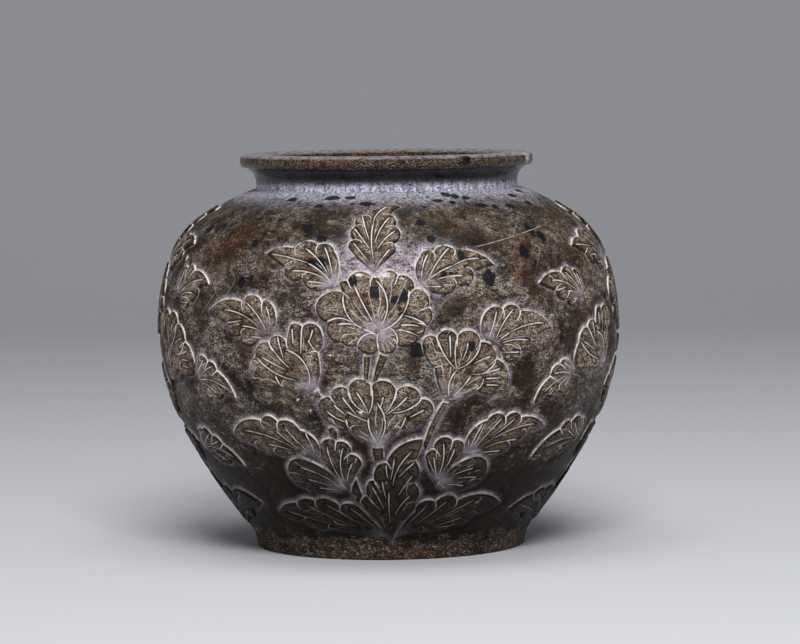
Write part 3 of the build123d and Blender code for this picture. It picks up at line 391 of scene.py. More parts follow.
def arc_points(start, through, end, step):
    """Points from start up to but not including end along the arc through all three."""
    start, through, end = [np.array(p, float) for p in (start, through, end)]
    a, b = through - start, end - start
    cross = 2 * (a[0] * b[1] - a[1] * b[0])
    chord = np.linalg.norm(b)
    if abs(cross) < 1e-6 * chord:
        count = max(2, int(chord / step))
        return [start + b * i / count for i in range(count)]
    centre = start + np.array([b[1] * (a @ a) - a[1] * (b @ b), a[0] * (b @ b) - b[0] * (a @ a)]) / cross
    first, middle, last = [math.atan2(*(p - centre)[::-1]) for p in (start, through, end)]
    full = 2 * math.pi
    sweep = (last - first) % full
    if (middle - first) % full > sweep:
        sweep -= full
    radius = np.linalg.norm(start - centre)
    count = max(2, int(abs(sweep) * radius / step))
    angles = first + sweep * np.arange(count) / count
    return [centre + radius * np.array([math.cos(t), math.sin(t)]) for t in angles]


class Flat:
    """Flat map of the wall round a motif: x round the jar and y up the wall, in mm."""

    def __init__(self, rows):
        turns, shares = zip(*rows)
        self.turn = (min(turns) + max(turns)) / 2
        self.run = run_at(wall_height * (min(shares) + max(shares)) / 2)

    def spots(self, rows):
        rows = np.array(rows, float)
        run = run_at(wall_height * rows[:, 1])
        radius = np.interp(run, runs, radii)
        return np.stack([(rows[:, 0] - self.turn) * degree * radius, run - self.run], axis=-1)

    def back(self, spots):
        """Turn and run of flat points."""
        run = spots[:, 1] + self.run
        radius = np.interp(run, runs, radii)
        return self.turn + spots[:, 0] / radius / degree, run


def outline_points(spots, step):
    points = []
    for i in range(0, len(spots), 2):
        points += arc_points(spots[i], spots[i + 1], spots[(i + 2) % len(spots)], step)
    return np.array(points)


def far_from(spots, starts, ends, shares=None):
    """Distance of each spot to the nearest of the segments, and the share of the line that lies there."""
    best = np.full(len(spots), beyond)
    along = np.zeros(len(spots))
    for i, (start, end) in enumerate(zip(starts, ends)):
        side = end - start
        share = np.clip(((spots - start) @ side) / max(side @ side, 1e-12), 0, 1)
        gap = np.linalg.norm(spots - start - share[:, None] * side, axis=1)
        nearer = gap < best
        best[nearer] = gap[nearer]
        if shares is not None:
            along[nearer] = (shares[i] + share * (shares[i + 1] - shares[i]))[nearer]
    return best, along


def ring_gap(spots, ring):
    """Distance of each spot to the closed ring of points."""
    return far_from(spots, ring, np.roll(ring, -1, axis=0))[0]


def inside(spots, ring):
    """Which spots lie inside the closed ring of points."""
    hit = np.zeros(len(spots), bool)
    x, y = spots[:, 0], spots[:, 1]
    for (x0, y0), (x1, y1) in zip(ring, np.roll(ring, -1, axis=0)):
        if y0 != y1:
            hit ^= ((y0 > y) != (y1 > y)) & (x < (x1 - x0) * (y - y0) / (y1 - y0) + x0)
    return hit


def carried(rows, move):
    """Rows turned and sized about a drawn root, then set down at another root."""
    (turn_0, share_0), (turn_1, share_1), angle, size = move
    degrees_per_share = math.degrees(wall_height / belly_radius)
    across = size * math.cos(math.radians(angle))
    lift = size * math.sin(math.radians(angle))
    placed = []
    for turn, share in rows:
        x = (turn - turn_0) / degrees_per_share
        y = share - share_0
        new_turn = turn_1 + (across * x - lift * y) * degrees_per_share
        placed.append((new_turn, share_1 + lift * x + across * y))
    return placed


def drawn_motifs(side):
    """Name, outline rows, line rows and half line width of every motif of a spray."""
    found = []
    for name in side_move_shares if side else motif_shares:
        half, rows, lines = motif_shares[drawn_as.get(name, name)]
        if side:
            move = side_move_shares[name]
            rows = carried(rows, move)
            lines = [carried(line, move) for line in lines]
        found.append((name, rows, lines, half))
    for i, rows in enumerate(side_stem_shares if side else stem_shares):
        found.append((f"stem_{i}", rows, [], vein_half))
    return found


def part_of(name):
    """Which part of the spray a motif belongs to."""
    if name.startswith("stem"):
        return "stems"
    if name.startswith("base"):
        return "base_leaves"
    for hand in ("left", "right"):
        if name.startswith(("lower_" + hand, "drooping_" + hand)):
            return f"lower_{hand}_leaves"
    return name


# Relief: each motif is a closed shell, puffed between its cut lines and rounded at its edge
mesh_step = 0.8
outline_step = 0.42
edge_gaps = [0.0, 0.20, 0.50, 0.85, 1.30]      # distances in from the outline
edge_rises = [0.0, 0.30, 0.68, 0.88, 1.0]      # share of the rise reached at each
edge_every = [1, 1, 2, 2]     # which points of the outline are carried in to each
edge_foot = -0.42             # height of the outline itself, at the bottom of its flank
root_depth = -1.3             # how far the shell reaches into the wall
underside_step = 5.0
underside_margin = 2.0
cut_step = 0.6
cut_margin = 0.16             # no loose point this close to a cut
cut_clearance = 0.12          # no point of a cut this close to the outline
vein_opening = 0.14           # share of its length over which a cut widens
notch_opening = 0.10
cut_narrowing = 0.55          # how much narrower it is at its end, before the last bit closes
cut_closing = 0.08
vein_reach = 1.3              # how far a cut line runs on towards the root
notch_length = 6.0            # cuts that run inward from the notches of an outline
notch_share = 0.45            # and how much of the way to the root they may take
notch_bend = -0.2             # turn of the outline from which a corner counts as a notch
puff_reach = 2.7              # distance from a line at which a petal is fully puffed
puff_start = 0.12
low_share = 0.52              # height beside a line as a share of the full height
root_reach = 9.0              # how far the sunk, dusty middle of a motif reaches
root_drop = 0.30
root_sharpness = 1.5
relief_ripples = [(0.05, 3.5, 14), (0.03, 1.6, 20)]     # height, size and count of the waves
stem_root_away = 60.0         # a stem's lines would meet this far up
rim_dust = 0.34               # how far in from the outline the pale dust lies on its flank
rim_dust_low = 0.12           # dust on a flank that faces down, and the painted highlight that one facing up has on top of it
rim_highlight_more = 0.52
rim_facing = 0.45
fan_step = 0.25               # angle between the fine veins that fan out from a root


def lattice(low, high, step):
    """Points of a triangular lattice over a box."""
    points = []
    for i, y in enumerate(np.arange(low[1], high[1], step * math.sqrt(3) / 2)):
        x = np.arange(low[0] + (step / 2 if i % 2 else 0), high[0], step)
        points.append(np.stack([x, np.full(len(x), y)], axis=-1))
    return np.concatenate(points)


def inward(ring):
    """Unit steps from each point of the ring into what it encloses."""
    side = np.roll(ring, -1, axis=0) - np.roll(ring, 1, axis=0)
    side /= np.linalg.norm(side, axis=1)[:, None] + 1e-9
    turned = np.roll(ring, -1, axis=0)
    area = (ring[:, 0] * turned[:, 1] - turned[:, 0] * ring[:, 1]).sum()
    return np.stack([-side[:, 1], side[:, 0]], axis=-1) * math.copysign(1, area)


def unit(step):
    return step / np.linalg.norm(step)


def notches(corners, root):
    """Lines that run from the notches of an outline towards the root of the motif."""
    found = []
    area = sum(a[0] * b[1] - a[1] * b[0] for a, b in zip(corners, corners[1:] + corners[:1]))
    for i in range(0, len(corners), 2):
        here = corners[i]
        a = unit(corners[i - 1] - here)
        b = unit(corners[(i + 1) % len(corners)] - here)
        bend = b[0] * a[1] - b[1] * a[0]
        way = -(a + b)
        far = np.linalg.norm(root - here)
        if bend * math.copysign(1, area) > notch_bend or np.linalg.norm(way) < 0.15 or far < 5:
            continue
        length = min(notch_length, notch_share * far)
        first = unit(way)
        middle = here + first * length * 0.5
        end = middle + (first + 2 * (root - here) / far) * length / 6
        found.append(np.array(arc_points(here, middle, end, cut_step)))
    return found


class Cut:
    """A cut line: its points, half width and depth along its length, and whether it is a notch."""

    def __init__(self, points, half, depth, notch):
        self.points = points
        self.shares = np.linspace(0, 1, len(points))
        self.half = half
        self.depth = depth
        self.notch = notch

    def half_at(self, along):
        start = np.clip(along / (notch_opening if self.notch else vein_opening), 0, 1) ** 0.6
        end = np.clip((1 - along) / cut_closing, 0, 1) ** 0.5
        return self.half * start * (1 - cut_narrowing * along) * end

    def seen_from(self, spots):
        """Distance of each spot, its place along the cut, and 0 outside to 1 in the middle of it."""
        gap, along = far_from(spots, self.points[:-1], self.points[1:], self.shares)
        return gap, along, np.clip(1 - gap / np.maximum(self.half_at(along), 0.03), 0, 1)

    def sides(self):
        """Points along the left, the middle and the right of the cut."""
        step = np.gradient(self.points, axis=0)
        step /= np.linalg.norm(step, axis=1)[:, None] + 1e-9
        across = np.stack([-step[:, 1], step[:, 0]], axis=-1) * self.half_at(self.shares)[:, None]
        return [self.points + across, self.points, self.points - across]


def motif_cuts(flat, corners, lines, half, root):
    found = []
    for line in lines:
        start, middle, end = flat.spots(line)
        points = np.array(arc_points(start, middle, end, cut_step) + [end])
        points = np.concatenate([points, [end + unit(end - points[-2]) * vein_reach]])
        found.append(Cut(points, half, vein_depth, False))
    return found + [Cut(line, notch_half, notch_depth, True) for line in notches(corners, root)]


def sheet_points(ring, cuts):
    """Spots of the mesh of a motif and the edges it has to keep."""
    spots = [ring]
    start = len(ring)
    edges = [(i, (i + 1) % start) for i in range(start)]
    for cut in cuts:
        rows = cut.sides()
        for row in rows:
            kept = inside(row, ring) & (ring_gap(row, ring) > cut_clearance)
            if cut.notch:
                kept[0] = row is rows[1]
            ids = np.where(kept)[0]
            spots.append(row[ids])
            edges += [(start + k, start + k + 1) for k in range(len(ids) - 1) if ids[k + 1] == ids[k] + 1]
            start += len(ids)
    loose = []
    for gap, every in zip(edge_gaps[1:], edge_every):
        row = (ring + inward(ring) * gap)[::every]
        row = row[inside(row, ring)]
        loose.append(row[ring_gap(row, ring) > 0.92 * gap])
    grid = lattice(ring.min(axis=0), ring.max(axis=0), mesh_step)
    grid = grid[inside(grid, ring)]
    loose.append(grid[ring_gap(grid, ring) > edge_gaps[-1] + 0.35 * mesh_step])
    loose = np.concatenate(loose)
    free = np.ones(len(loose), bool)
    for cut in cuts:
        gap, along, _ = cut.seen_from(loose)
        free &= gap > cut.half_at(along) + cut_margin
    spots.append(loose[free])
    return np.concatenate(spots), edges


def relief_heights(spots, ring, cuts, root, places):
    """Height off the wall of each spot, how dusty it is, with painted highlight on flanks that face up, and
    how puffed the petal is there.
    """
    # pale marks on the flanks: dust all round, and painted highlight on flanks that face up
    upward = -inward(ring)[:, 1]
    edge_gap, facing = far_from(spots, ring, np.roll(ring, -1, axis=0), np.append(upward, upward[0]))
    mark = rim_dust_low + rim_highlight_more * smooth((facing + rim_facing) / (2 * rim_facing))
    mark = mark * np.clip(1 - edge_gap / rim_dust, 0, 1)
    depth = np.zeros(len(spots))
    line_gap = np.full(len(spots), beyond)
    for cut in cuts:
        gap, along, cut_share = cut.seen_from(spots)
        fade = (1 - 0.6 * along) if cut.notch else np.clip(edge_gap, 0, 1)
        depth = np.maximum(depth, cut.depth * fade * np.sin(cut_share * math.pi / 2))
        mark = np.maximum(mark, cut_share * (cut.half_at(along) / cut.half) ** 0.5)
        line_gap = np.minimum(line_gap, gap + 2.0 * along if cut.notch else gap)
    puff = smooth(puff_start + np.minimum(line_gap, edge_gap + 1.0) / puff_reach)
    full = relief_height * (low_share + (1 - low_share) * puff)
    full = full - root_drop * np.exp(-np.linalg.norm(spots - root, axis=1) / root_reach * root_sharpness)
    for height, size, count in relief_ripples:
        full = full + height * waves(places, size, count)
    out = edge_foot + (full - edge_foot) * np.interp(edge_gap, edge_gaps, edge_rises) - depth
    out = np.clip(out, edge_foot, relief_height)
    return out, mark, smooth(puff_start + np.minimum(line_gap, edge_gap) / puff_reach)


def motif_root(name, rows, flat, ring):
    """Where the lines of a motif meet: its drawn root, or its first corner if the root lies outside."""
    corner = flat.spots(rows)[0]
    if name.startswith("stem"):
        return corner + np.array([0.0, stem_root_away])
    root = flat.spots([side_move_shares.get(name, (rows[0],))[0]])[0]
    return root if inside(np.array([root]), ring)[0] else corner


def underside(name, spots, faces):
    """Outline ids, the grid below and the faces that close a motif from below, in that order of ids."""
    used = {(a, b) for face in faces for a, b in zip(face, face[1:] + face[:1])}
    after = {a: b for a, b in used if (b, a) not in used}
    order = sorted(after)
    loop = [order[0]]
    while after[loop[-1]] != loop[0]:
        loop.append(after[loop[-1]])
    if len(loop) != len(order):
        raise ValueError(name + " has more than one outline")
    size = len(loop)
    low = {i: len(spots) + k for k, i in enumerate(order)}
    skirt = [(after[a], a, low[a], low[after[a]]) for a in order]
    ring = spots[loop]
    grid = lattice(ring.min(axis=0), ring.max(axis=0), underside_step)
    grid = grid[inside(grid, ring)]
    grid = grid[ring_gap(grid, ring) > underside_margin]
    points = [Vector(p) for p in np.concatenate([ring, grid])]
    edges = [(i, (i + 1) % size) for i in range(size)]
    got, _, tiles, *_ = geometry.delaunay_2d_cdt(points, edges, [], 1, 1e-6)
    if len(got) != len(points):
        tiles = [tuple(range(size))]
        grid = grid[:0]
    ids = [low[i] for i in loop] + [len(spots) + size + k for k in range(len(grid))]
    return order, grid, skirt + [tuple(ids[i] for i in reversed(tile)) for tile in tiles]


def relief_shell(name, rows, lines, half, seed):
    """Turn, run and out of every vertex, the faces, and the vertex masks of one motif."""
    flat = Flat(rows)
    corners = list(flat.spots(rows))
    ring = outline_points(corners, outline_step)
    root = motif_root(name, rows, flat, ring)
    cuts = [] if name.startswith("stem") else motif_cuts(flat, corners, lines, half, root)
    spots, edges = sheet_points(ring, cuts)
    made, _, faces, *_ = geometry.delaunay_2d_cdt([Vector(p) for p in spots], edges, [], 1, 1e-4)
    spots = np.array([tuple(p) for p in made])
    turn, run = flat.back(spots)
    out, mark, puff = relief_heights(spots, ring, cuts, root, on_wall(turn, run, 0) + seed)
    order, grid, closing = underside(name, spots, faces)
    grid_turn, grid_run = flat.back(grid)
    hidden = len(order) + len(grid)
    places = (
        np.concatenate([turn, turn[order], grid_turn]),
        np.concatenate([run, run[order], grid_run]),
        np.concatenate([out, np.full(hidden, root_depth)]),
    )
    way = ring.mean(axis=0) - root
    away = spots - root
    masks = {
        # pale marks: dust in the cuts and on the outline, and painted highlight on flanks that face up
        "cut": mark,
        "puff": puff,
        "fan": np.arctan2(way[0] * away[:, 1] - way[1] * away[:, 0], away @ way),
        "root": np.exp(-np.linalg.norm(away, axis=1) / root_reach),
    }
    masks = {key: np.append(values, np.zeros(hidden)) for key, values in masks.items()}
    return places, list(faces) + closing, masks


# The wall and the rest of the body
columns = 680
row_gap = 1.12
inside_rows = 16
ground_sink = -0.42           # wall beside a motif, from the plain outline
ground_rise = 0.32            # wall away from the motifs
ground_reach = 6.5            # how far from a motif the wall comes back up
hidden_sink = -1.0            # wall under a motif
hidden_reach = 1.2
ground_ripples = [(0.07, 9, 14), (0.045, 3, 24)]    # height, size and count of the waves
joint_reach = 3.0             # how far from its ends the wall keeps to the plain outline
free_reach = 1.2              # the same for the turned pieces
stem_stain = 0.35             # stems are rusty all along
far_away = 50.0               # gap given where no motif is near
dust_and_highlight_lean = 0.6               # dust, and painted highlight of a motif's lit upper side, lie thicker above it than under it
gap_step = 0.9                # step along an outline from which gaps are measured
crease_angle = 50             # sharper edges than this stay hard
lip_wear = 0.10
neck_sway = 0.10
lip_sway = 0.12
foot_sway = 0.12
lip_chips = [
    # turn, height, how far it reaches, how deep it bites
    (72.0, 201.2, 2.6, 1.3),
    (-58.0, 202.6, 1.6, 0.6),
    (31.0, 199.6, 1.4, 0.5),
    (148.0, 202.0, 2.0, 0.8),
    (-120.0, 201.0, 1.5, 0.6),
]
neck_bow = 0.18               # bow of an arc as a share of its length, to the left as it runs
lip_top_bow = -0.075
lip_inner_bow = -0.06
lip_under_points = [(75.35, 197.6), (75.75, 198.4)]
foot_edge_points = [(64.0, 0.0), (68.4, 0.0), (69.0, 0.1), (69.45, 0.35), (69.7, 0.75)]
foot_edge_top = 1.4
base_dish = 0.25
base_play = 0.2
base_rings = 12
base_edge = 6.0


def ring_turns():
    return np.arange(columns) * 360.0 / columns - 180.0


def motif_gaps(turn, run):
    """Distance from points of the wall to the nearest motif, below zero under one."""
    gaps = np.full(turn.shape, far_away)
    margin = ground_reach + 2
    for side, spray_turns in ((False, (0, 180)), (True, (90, -90))):
        for _, rows, _, _ in drawn_motifs(side):
            flat = Flat(rows)
            ring = outline_points(list(flat.spots(rows)), gap_step)
            low, high = ring.min(axis=0) - margin, ring.max(axis=0) + margin
            for spray_turn in spray_turns:
                away = (turn - spray_turn - flat.turn + 180) % 360 - 180
                x = away * degree * np.interp(run, runs, radii)
                # measured from lower down, so that pale marks lie more above a motif: dust, and painted
                # highlight of its lit side
                y = run - flat.run - dust_and_highlight_lean
                near = (x > low[0]) & (x < high[0]) & (y > low[1]) & (y < high[1])
                spots = np.stack([x[near], y[near]], axis=-1)
                if not len(spots):
                    continue
                gap = ring_gap(spots, ring)
                gap[inside(spots, ring)] *= -1
                gaps[near] = np.minimum(gaps[near], gap)
    return gaps


def ground_out(gaps, points, run):
    """How far the wall stands off its plain outline, from its distance to the motifs."""
    out = ground_sink + (ground_rise - ground_sink) * smooth(gaps / ground_reach)
    hidden = ground_sink + (hidden_sink - ground_sink) * smooth(-gaps / hidden_reach)
    out = np.where(gaps < 0, hidden, out)
    for height, size, count in ground_ripples:
        out = out + (gaps > 0) * height * waves(points, size, count)
    return out * smooth(run / joint_reach) * smooth((runs[-1] - run) / joint_reach)


# Blots on the front: rows of (turn, share of the wall height, half width and half height in mm)
inclusion_rows = [
    (-38, 0.98, 3.2, 2.2), (-33, 0.97, 1.1, 1.0), (-24, 0.965, 2.4, 1.6), (-21, 0.985, 3.6, 2.6),
    (-14, 0.985, 2.6, 2.0), (-12, 0.97, 1.3, 1.0), (-7, 0.97, 3.4, 2.2), (-23, 0.91, 2.6, 2.4),
    (-18, 0.885, 2.6, 2.0), (-38, 0.87, 1.9, 2.2), (-39, 0.77, 2.0, 2.8), (-55, 0.95, 1.5, 1.2),
    (-34, 0.90, 1.0, 1.0), (-34, 0.93, 1.5, 1.5), (-18, 0.82, 5.0, 3.0), (-9, 0.775, 3.0, 2.8),
    (-3, 0.745, 2.8, 3.2), (24, 0.99, 2.5, 2.6), (27, 0.985, 2.3, 2.4), (31, 0.98, 2.3, 2.0),
    (19, 0.975, 2.6, 2.0), (24, 0.97, 1.9, 1.6), (34, 0.96, 3.4, 2.4), (39, 0.955, 1.7, 2.0),
    (46, 0.955, 2.6, 2.2), (56, 0.98, 3.0, 2.0), (58, 0.96, 2.6, 2.0), (13, 0.96, 1.0, 1.2),
    (10, 0.92, 2.4, 2.2), (12, 0.88, 2.0, 2.2), (44, 0.895, 2.2, 4.2), (47, 0.875, 2.4, 3.6),
    (38, 0.84, 2.6, 3.6), (19, 0.835, 1.9, 3.0), (14, 0.79, 1.8, 1.5), (26, 0.775, 3.2, 4.4),
    (4, 0.735, 2.0, 3.0), (2, 0.725, 2.6, 1.9), (7, 0.59, 3.4, 3.6), (20, 0.60, 1.9, 2.4),
]
stain_rows = [
    (28, 0.94, 13.0, 3.6), (33, 0.92, 9.0, 5.0), (55, 0.845, 8.0, 10.0), (34, 0.79, 7.0, 8.0),
    (-43, 0.89, 15.0, 12.0), (-27, 0.905, 3.4, 3.4), (-36, 0.89, 4.4, 5.0), (-32, 0.74, 5.0, 4.4),
    (-20, 0.765, 3.6, 2.4), (-51, 0.82, 11.0, 15.0), (-14, 0.54, 8.0, 8.0), (15, 0.485, 6.0, 8.0),
    (-28, 0.535, 6.0, 7.0), (27, 0.64, 7.0, 6.0), (-1, 0.595, 6.0, 4.0), (-11, 0.61, 6.0, 5.0),
]
# rubbed pale spots; the first three, on the top of the main blossom, are painted glints
worn_and_glint_rows = [
    (-0.6, 0.79, 3.3, 2.0), (-7, 0.790, 2.4, 1.0), (3.6, 0.780, 1.5, 0.9), (-7, 0.43, 1.4, 1.0),
    (-14, 0.58, 1.5, 1.1), (-23, 0.46, 1.2, 1.0), (-20, 0.43, 0.9, 0.9),
]
scatter_turns = (62, 298)
scatter_top_share = 0.99


def scattered(count, seed, low_share, sizes):
    """Blots for the other three sides, thrown by dice, more of them towards the shoulder."""
    dice = np.random.default_rng(seed)
    rows = []
    for turn in dice.uniform(*scatter_turns, count):
        share = scatter_top_share - (scatter_top_share - low_share) * dice.uniform() ** 1.6
        wide = dice.uniform(*sizes)
        rows.append((turn, share, wide, wide * dice.uniform(0.6, 1.3)))
    return rows


blot_sets = {
    "inclusion": inclusion_rows + scattered(110, 11, 0.55, (1.0, 3.4)),
    "stain": stain_rows + scattered(36, 12, 0.25, (4.0, 14.0)),
    "worn_and_glint": worn_and_glint_rows + scattered(14, 13, 0.40, (0.8, 2.4)),
}


def blot_field(rows, points):
    """1 in the middle of a blot, 0 at its edge and down to -1 away from all of them."""
    field = np.full(len(points), -1.0)
    for turn, share, wide, high in rows:
        run = run_at(wall_height * share)
        lean = float(np.interp(run, runs, leans))
        centre = on_wall(turn, run, 0.0)
        near = np.where(np.abs(points - centre).max(axis=1) < 2.1 * max(wide, high))[0]
        if len(near):
            away = points[near] - centre
            side, front = math.sin(turn * degree), math.cos(turn * degree)
            across = away @ np.array([front, side, 0.0])
            along = away @ np.array([math.cos(lean) * side, -math.cos(lean) * front, math.sin(lean)])
            field[near] = np.maximum(field[near], 1 - np.hypot(across / wide, along / high))
    return field


def make_piece(name, points, faces, material, masks=None):
    mesh = bpy.data.meshes.new(name)
    mesh.from_pydata((np.asarray(points) * MM).tolist(), [], faces)
    mesh.update()
    mesh.shade_smooth()
    for key, values in (masks or {}).items():
        layer = mesh.attributes.new(key, "FLOAT", "POINT")
        layer.data.foreach_set("value", np.asarray(values, np.float32))
    mesh.set_sharp_from_angle(angle=math.radians(crease_angle))
    mesh.materials.append(material)
    piece = bpy.data.objects.new(name, mesh)
    bpy.context.scene.collection.objects.link(piece)
    return piece


def ring_shell(rows):
    """Points and faces of a closed shell turned from rows of points that follow each other round."""
    count = len(rows[0])
    faces = []
    for i in range(len(rows)):
        a = i * count
        b = (i + 1) % len(rows) * count
        for j in range(count):
            k = (j + 1) % count
            faces.append((a + j, a + k, b + k, b + j))
    return np.concatenate(rows), faces


def circle(radius, height):
    angle = ring_turns() * degree
    return np.stack([radius * np.sin(angle), -radius * np.cos(angle), np.full(columns, height)], axis=-1)


def arc_rz(start, end, sag_share, count):
    """Points from start to end along an arc bowed to the left by a share of its length."""
    run, rise = end[0] - start[0], end[1] - start[1]
    through = ((start[0] + end[0]) / 2 - sag_share * rise, (start[1] + end[1]) / 2 + sag_share * run)
    return [tuple(p) for p in arc_points(start, through, end, math.hypot(run, rise) / count)] + [end]


def straight_rz(start, end, count):
    """Points from start up to but not including end."""
    return [tuple(start[i] + (end[i] - start[i]) * k / count for i in (0, 1)) for k in range(count)]


inner_radii = radii - wall_thickness * np.sin(leans)
inner_heights = heights + wall_thickness * np.cos(leans)


def inner_rows(start, end):
    """Profile points of the inside of the wall, evenly spaced in height."""
    found = np.linspace(start, end, inside_rows)
    return [(float(np.interp(z, inner_heights, inner_radii)), float(z)) for z in found]


def wall_piece(name, start_run, end_run, inside_profile):
    """One half of the wall: its worked outside and the plain rest of its section."""
    count = max(4, int((end_run - start_run) / row_gap))
    turn, run = np.meshgrid(ring_turns(), np.linspace(start_run, end_run, count + 1))
    gaps = motif_gaps(turn, run).ravel()
    turn, run = turn.ravel(), run.ravel()
    outside = on_wall(turn, run, ground_out(gaps, on_wall(turn, run, 0), run))
    rows = list(outside.reshape(count + 1, columns, 3)) + [circle(r, z) for r, z in inside_profile]
    points, faces = ring_shell(rows)
    hidden = len(points) - len(outside)
    masks = {"near": np.append(gaps, np.full(hidden, far_away))}
    for key, blots in blot_sets.items():
        masks[key] = np.append(blot_field(blots, outside), np.full(hidden, -1.0))
    return make_piece(name, points, faces, stone["body"], masks)


def loose_shell(name, profile, material, sway, chips=()):
    """Turned shell, a little uneven as a hand-made one is. Points on joints and the floor stay put."""
    points, faces = ring_shell([circle(r, z) for r, z in profile])
    radius = np.hypot(points[:, 0], points[:, 1])
    free = np.ones(len(points))
    for height in (0.0, foot_height, wall_height, lip_joint_height):
        free *= smooth(np.abs(points[:, 2] - height) / free_reach)
    free[radius < mouth_radius + 0.01] = 0
    bump = sway * (waves(points, 30) - 0.6) * 0.6 + sway * 0.35 * waves(points, 6, 20)
    points[:, :2] *= (1 + free * bump / radius)[:, None]
    if chips:
        worn_off = lip_wear * np.clip(1 + waves(points, 40), 0, 2) * (points[:, 2] > lip_edge_high)
        points[:, 2] -= free * worn_off
    for turn, height, reach, depth in chips:
        angle = turn * degree
        spot = np.array([lip_radius * math.sin(angle), -lip_radius * math.cos(angle), height])
        bite = depth * smooth(1 - np.linalg.norm(points - spot, axis=1) / reach)
        points[:, :2] *= (1 - bite / radius)[:, None]
    return make_piece(name, points, faces, material)


def disc_piece(name, material):
    """Base disc: two faces with rings of points, and the edge between them."""
    steps = [base_radius * k / base_rings for k in range(base_rings, 0, -1)]
    rows = [circle(r, base_underside) for r in reversed(steps)] + [circle(r, base_top) for r in steps]
    points, faces = ring_shell(rows)
    faces = faces[:-columns]
    low, high = len(points), len(points) + 1
    points = np.concatenate([points, [[0, 0, base_underside], [0, 0, base_top]]])
    last = (len(rows) - 1) * columns
    for j in range(columns):
        k = (j + 1) % columns
        faces.append((low, k, j))
        faces.append((high, last + j, last + k))
    free = smooth((base_radius - np.hypot(points[:, 0], points[:, 1])) / base_edge)
    dish = base_dish * waves(points, 25) * free - base_play
    points[:, 2] += np.where(points[:, 2] > foot_height, dish, -dish) * free
    return make_piece(name, points, faces, material)


def lower_wall():
    floor_run = np.interp(wall_height * wall_shares[0][1], heights, runs)
    inside_profile = inner_rows(belly_joint_height, float(np.interp(floor_run, runs, inner_heights)))
    inside_profile += [(base_radius, base_top), (base_radius, foot_height)]
    inside_profile += straight_rz((base_radius, foot_height), (foot_top_radius, foot_height), 4)[1:]
    return wall_piece("lower_wall_look", 0, run_at(belly_joint_height), inside_profile)


def upper_wall():
    inside_profile = straight_rz((neck_radius, wall_height), (mouth_radius, wall_height), 3)[1:]
    inside_profile += [(mouth_radius, wall_height), (mouth_radius, wall_height * inner_shoulder_share)]
    inside_profile += inner_rows(inner_heights[-1], belly_joint_height)
    return wall_piece("upper_wall_look", run_at(belly_joint_height), runs[-1], inside_profile)


def neck():
    waist = (neck_waist_radius, neck_waist_height)
    top = (lip_underside_radius, lip_joint_height)
    profile = straight_rz((neck_radius, wall_height), waist, 5) + arc_rz(waist, top, neck_bow, 12)
    profile += straight_rz(top, (mouth_radius, lip_joint_height), 5)[1:]
    profile += straight_rz((mouth_radius, lip_joint_height), (mouth_radius, wall_height), 8)
    profile += straight_rz((mouth_radius, wall_height), (neck_radius, wall_height), 3)
    return loose_shell("neck_look", profile, stone["rim"], neck_sway)


def lip():
    under = (lip_underside_radius, lip_joint_height)
    edge, crest = (lip_radius, lip_edge_high), (lip_crest_radius, lip_crest_height)
    rim, joint = (mouth_radius, lip_inner_height), (mouth_radius, lip_joint_height)
    profile = [under, *lip_under_points, (lip_radius, lip_edge_low)]
    profile += straight_rz((lip_radius, lip_edge_low), edge, 5)[1:]
    profile += arc_rz(edge, crest, lip_top_bow, 10) + arc_rz(crest, rim, lip_inner_bow, 12)[1:]
    profile += straight_rz(rim, joint, 4)[1:]
    profile += straight_rz(joint, under, 5)
    return loose_shell("lip_look", profile, stone["rim"], lip_sway, lip_chips)


def foot_ring():
    top, inner_top = (foot_top_radius, foot_height), (base_radius, foot_height)
    profile = [(base_radius, 0.0), *foot_edge_points]
    profile += straight_rz((foot_radius, foot_edge_top), top, 7) + straight_rz(top, inner_top, 4)
    profile += straight_rz(inner_top, (base_radius, 0.0), 3)
    return loose_shell("foot_ring_look", profile, stone["foot"], foot_sway)


def base_disc():
    return disc_piece("base_disc_look", stone["foot"])


def relief_pieces():
    """One piece for each part of each spray. Both sprays of a kind share their drawing."""
    for side, places in ((False, {"front": 0, "back": 180}), (True, {"right": 90, "left": -90})):
        parts = {}
        for i, (name, rows, lines, half) in enumerate(drawn_motifs(side)):
            shell = relief_shell(name, rows, lines, half, 40.0 * i)
            parts.setdefault(part_of(name), []).append(shell)
        for place, turn in places.items():
            for part, shells in parts.items():
                node = f"{place}_{part}"
                yield node, relief_piece(node, shells, turn)


def relief_piece(node, shells, spray_turn):
    """The shells of one part together, carried round to their spray."""
    points, faces = [], []
    start = 0
    for (turns, run, out), tiles, marks in shells:
        points.append(on_wall(turns + spray_turn, run, out))
        faces += [tuple(start + i for i in tile) for tile in tiles]
        start += len(turns)
    points = np.concatenate(points)
    masks = {key: np.concatenate([marks[key] for _, _, marks in shells]) for key in shells[0][2]}
    for key, blots in blot_sets.items():
        masks[key] = blot_field(blots, points)
    if node.endswith("stems"):
        masks["stain"] = np.maximum(masks["stain"], stem_stain)
    return make_piece(node + "_look", points, faces, stone["relief"], masks)


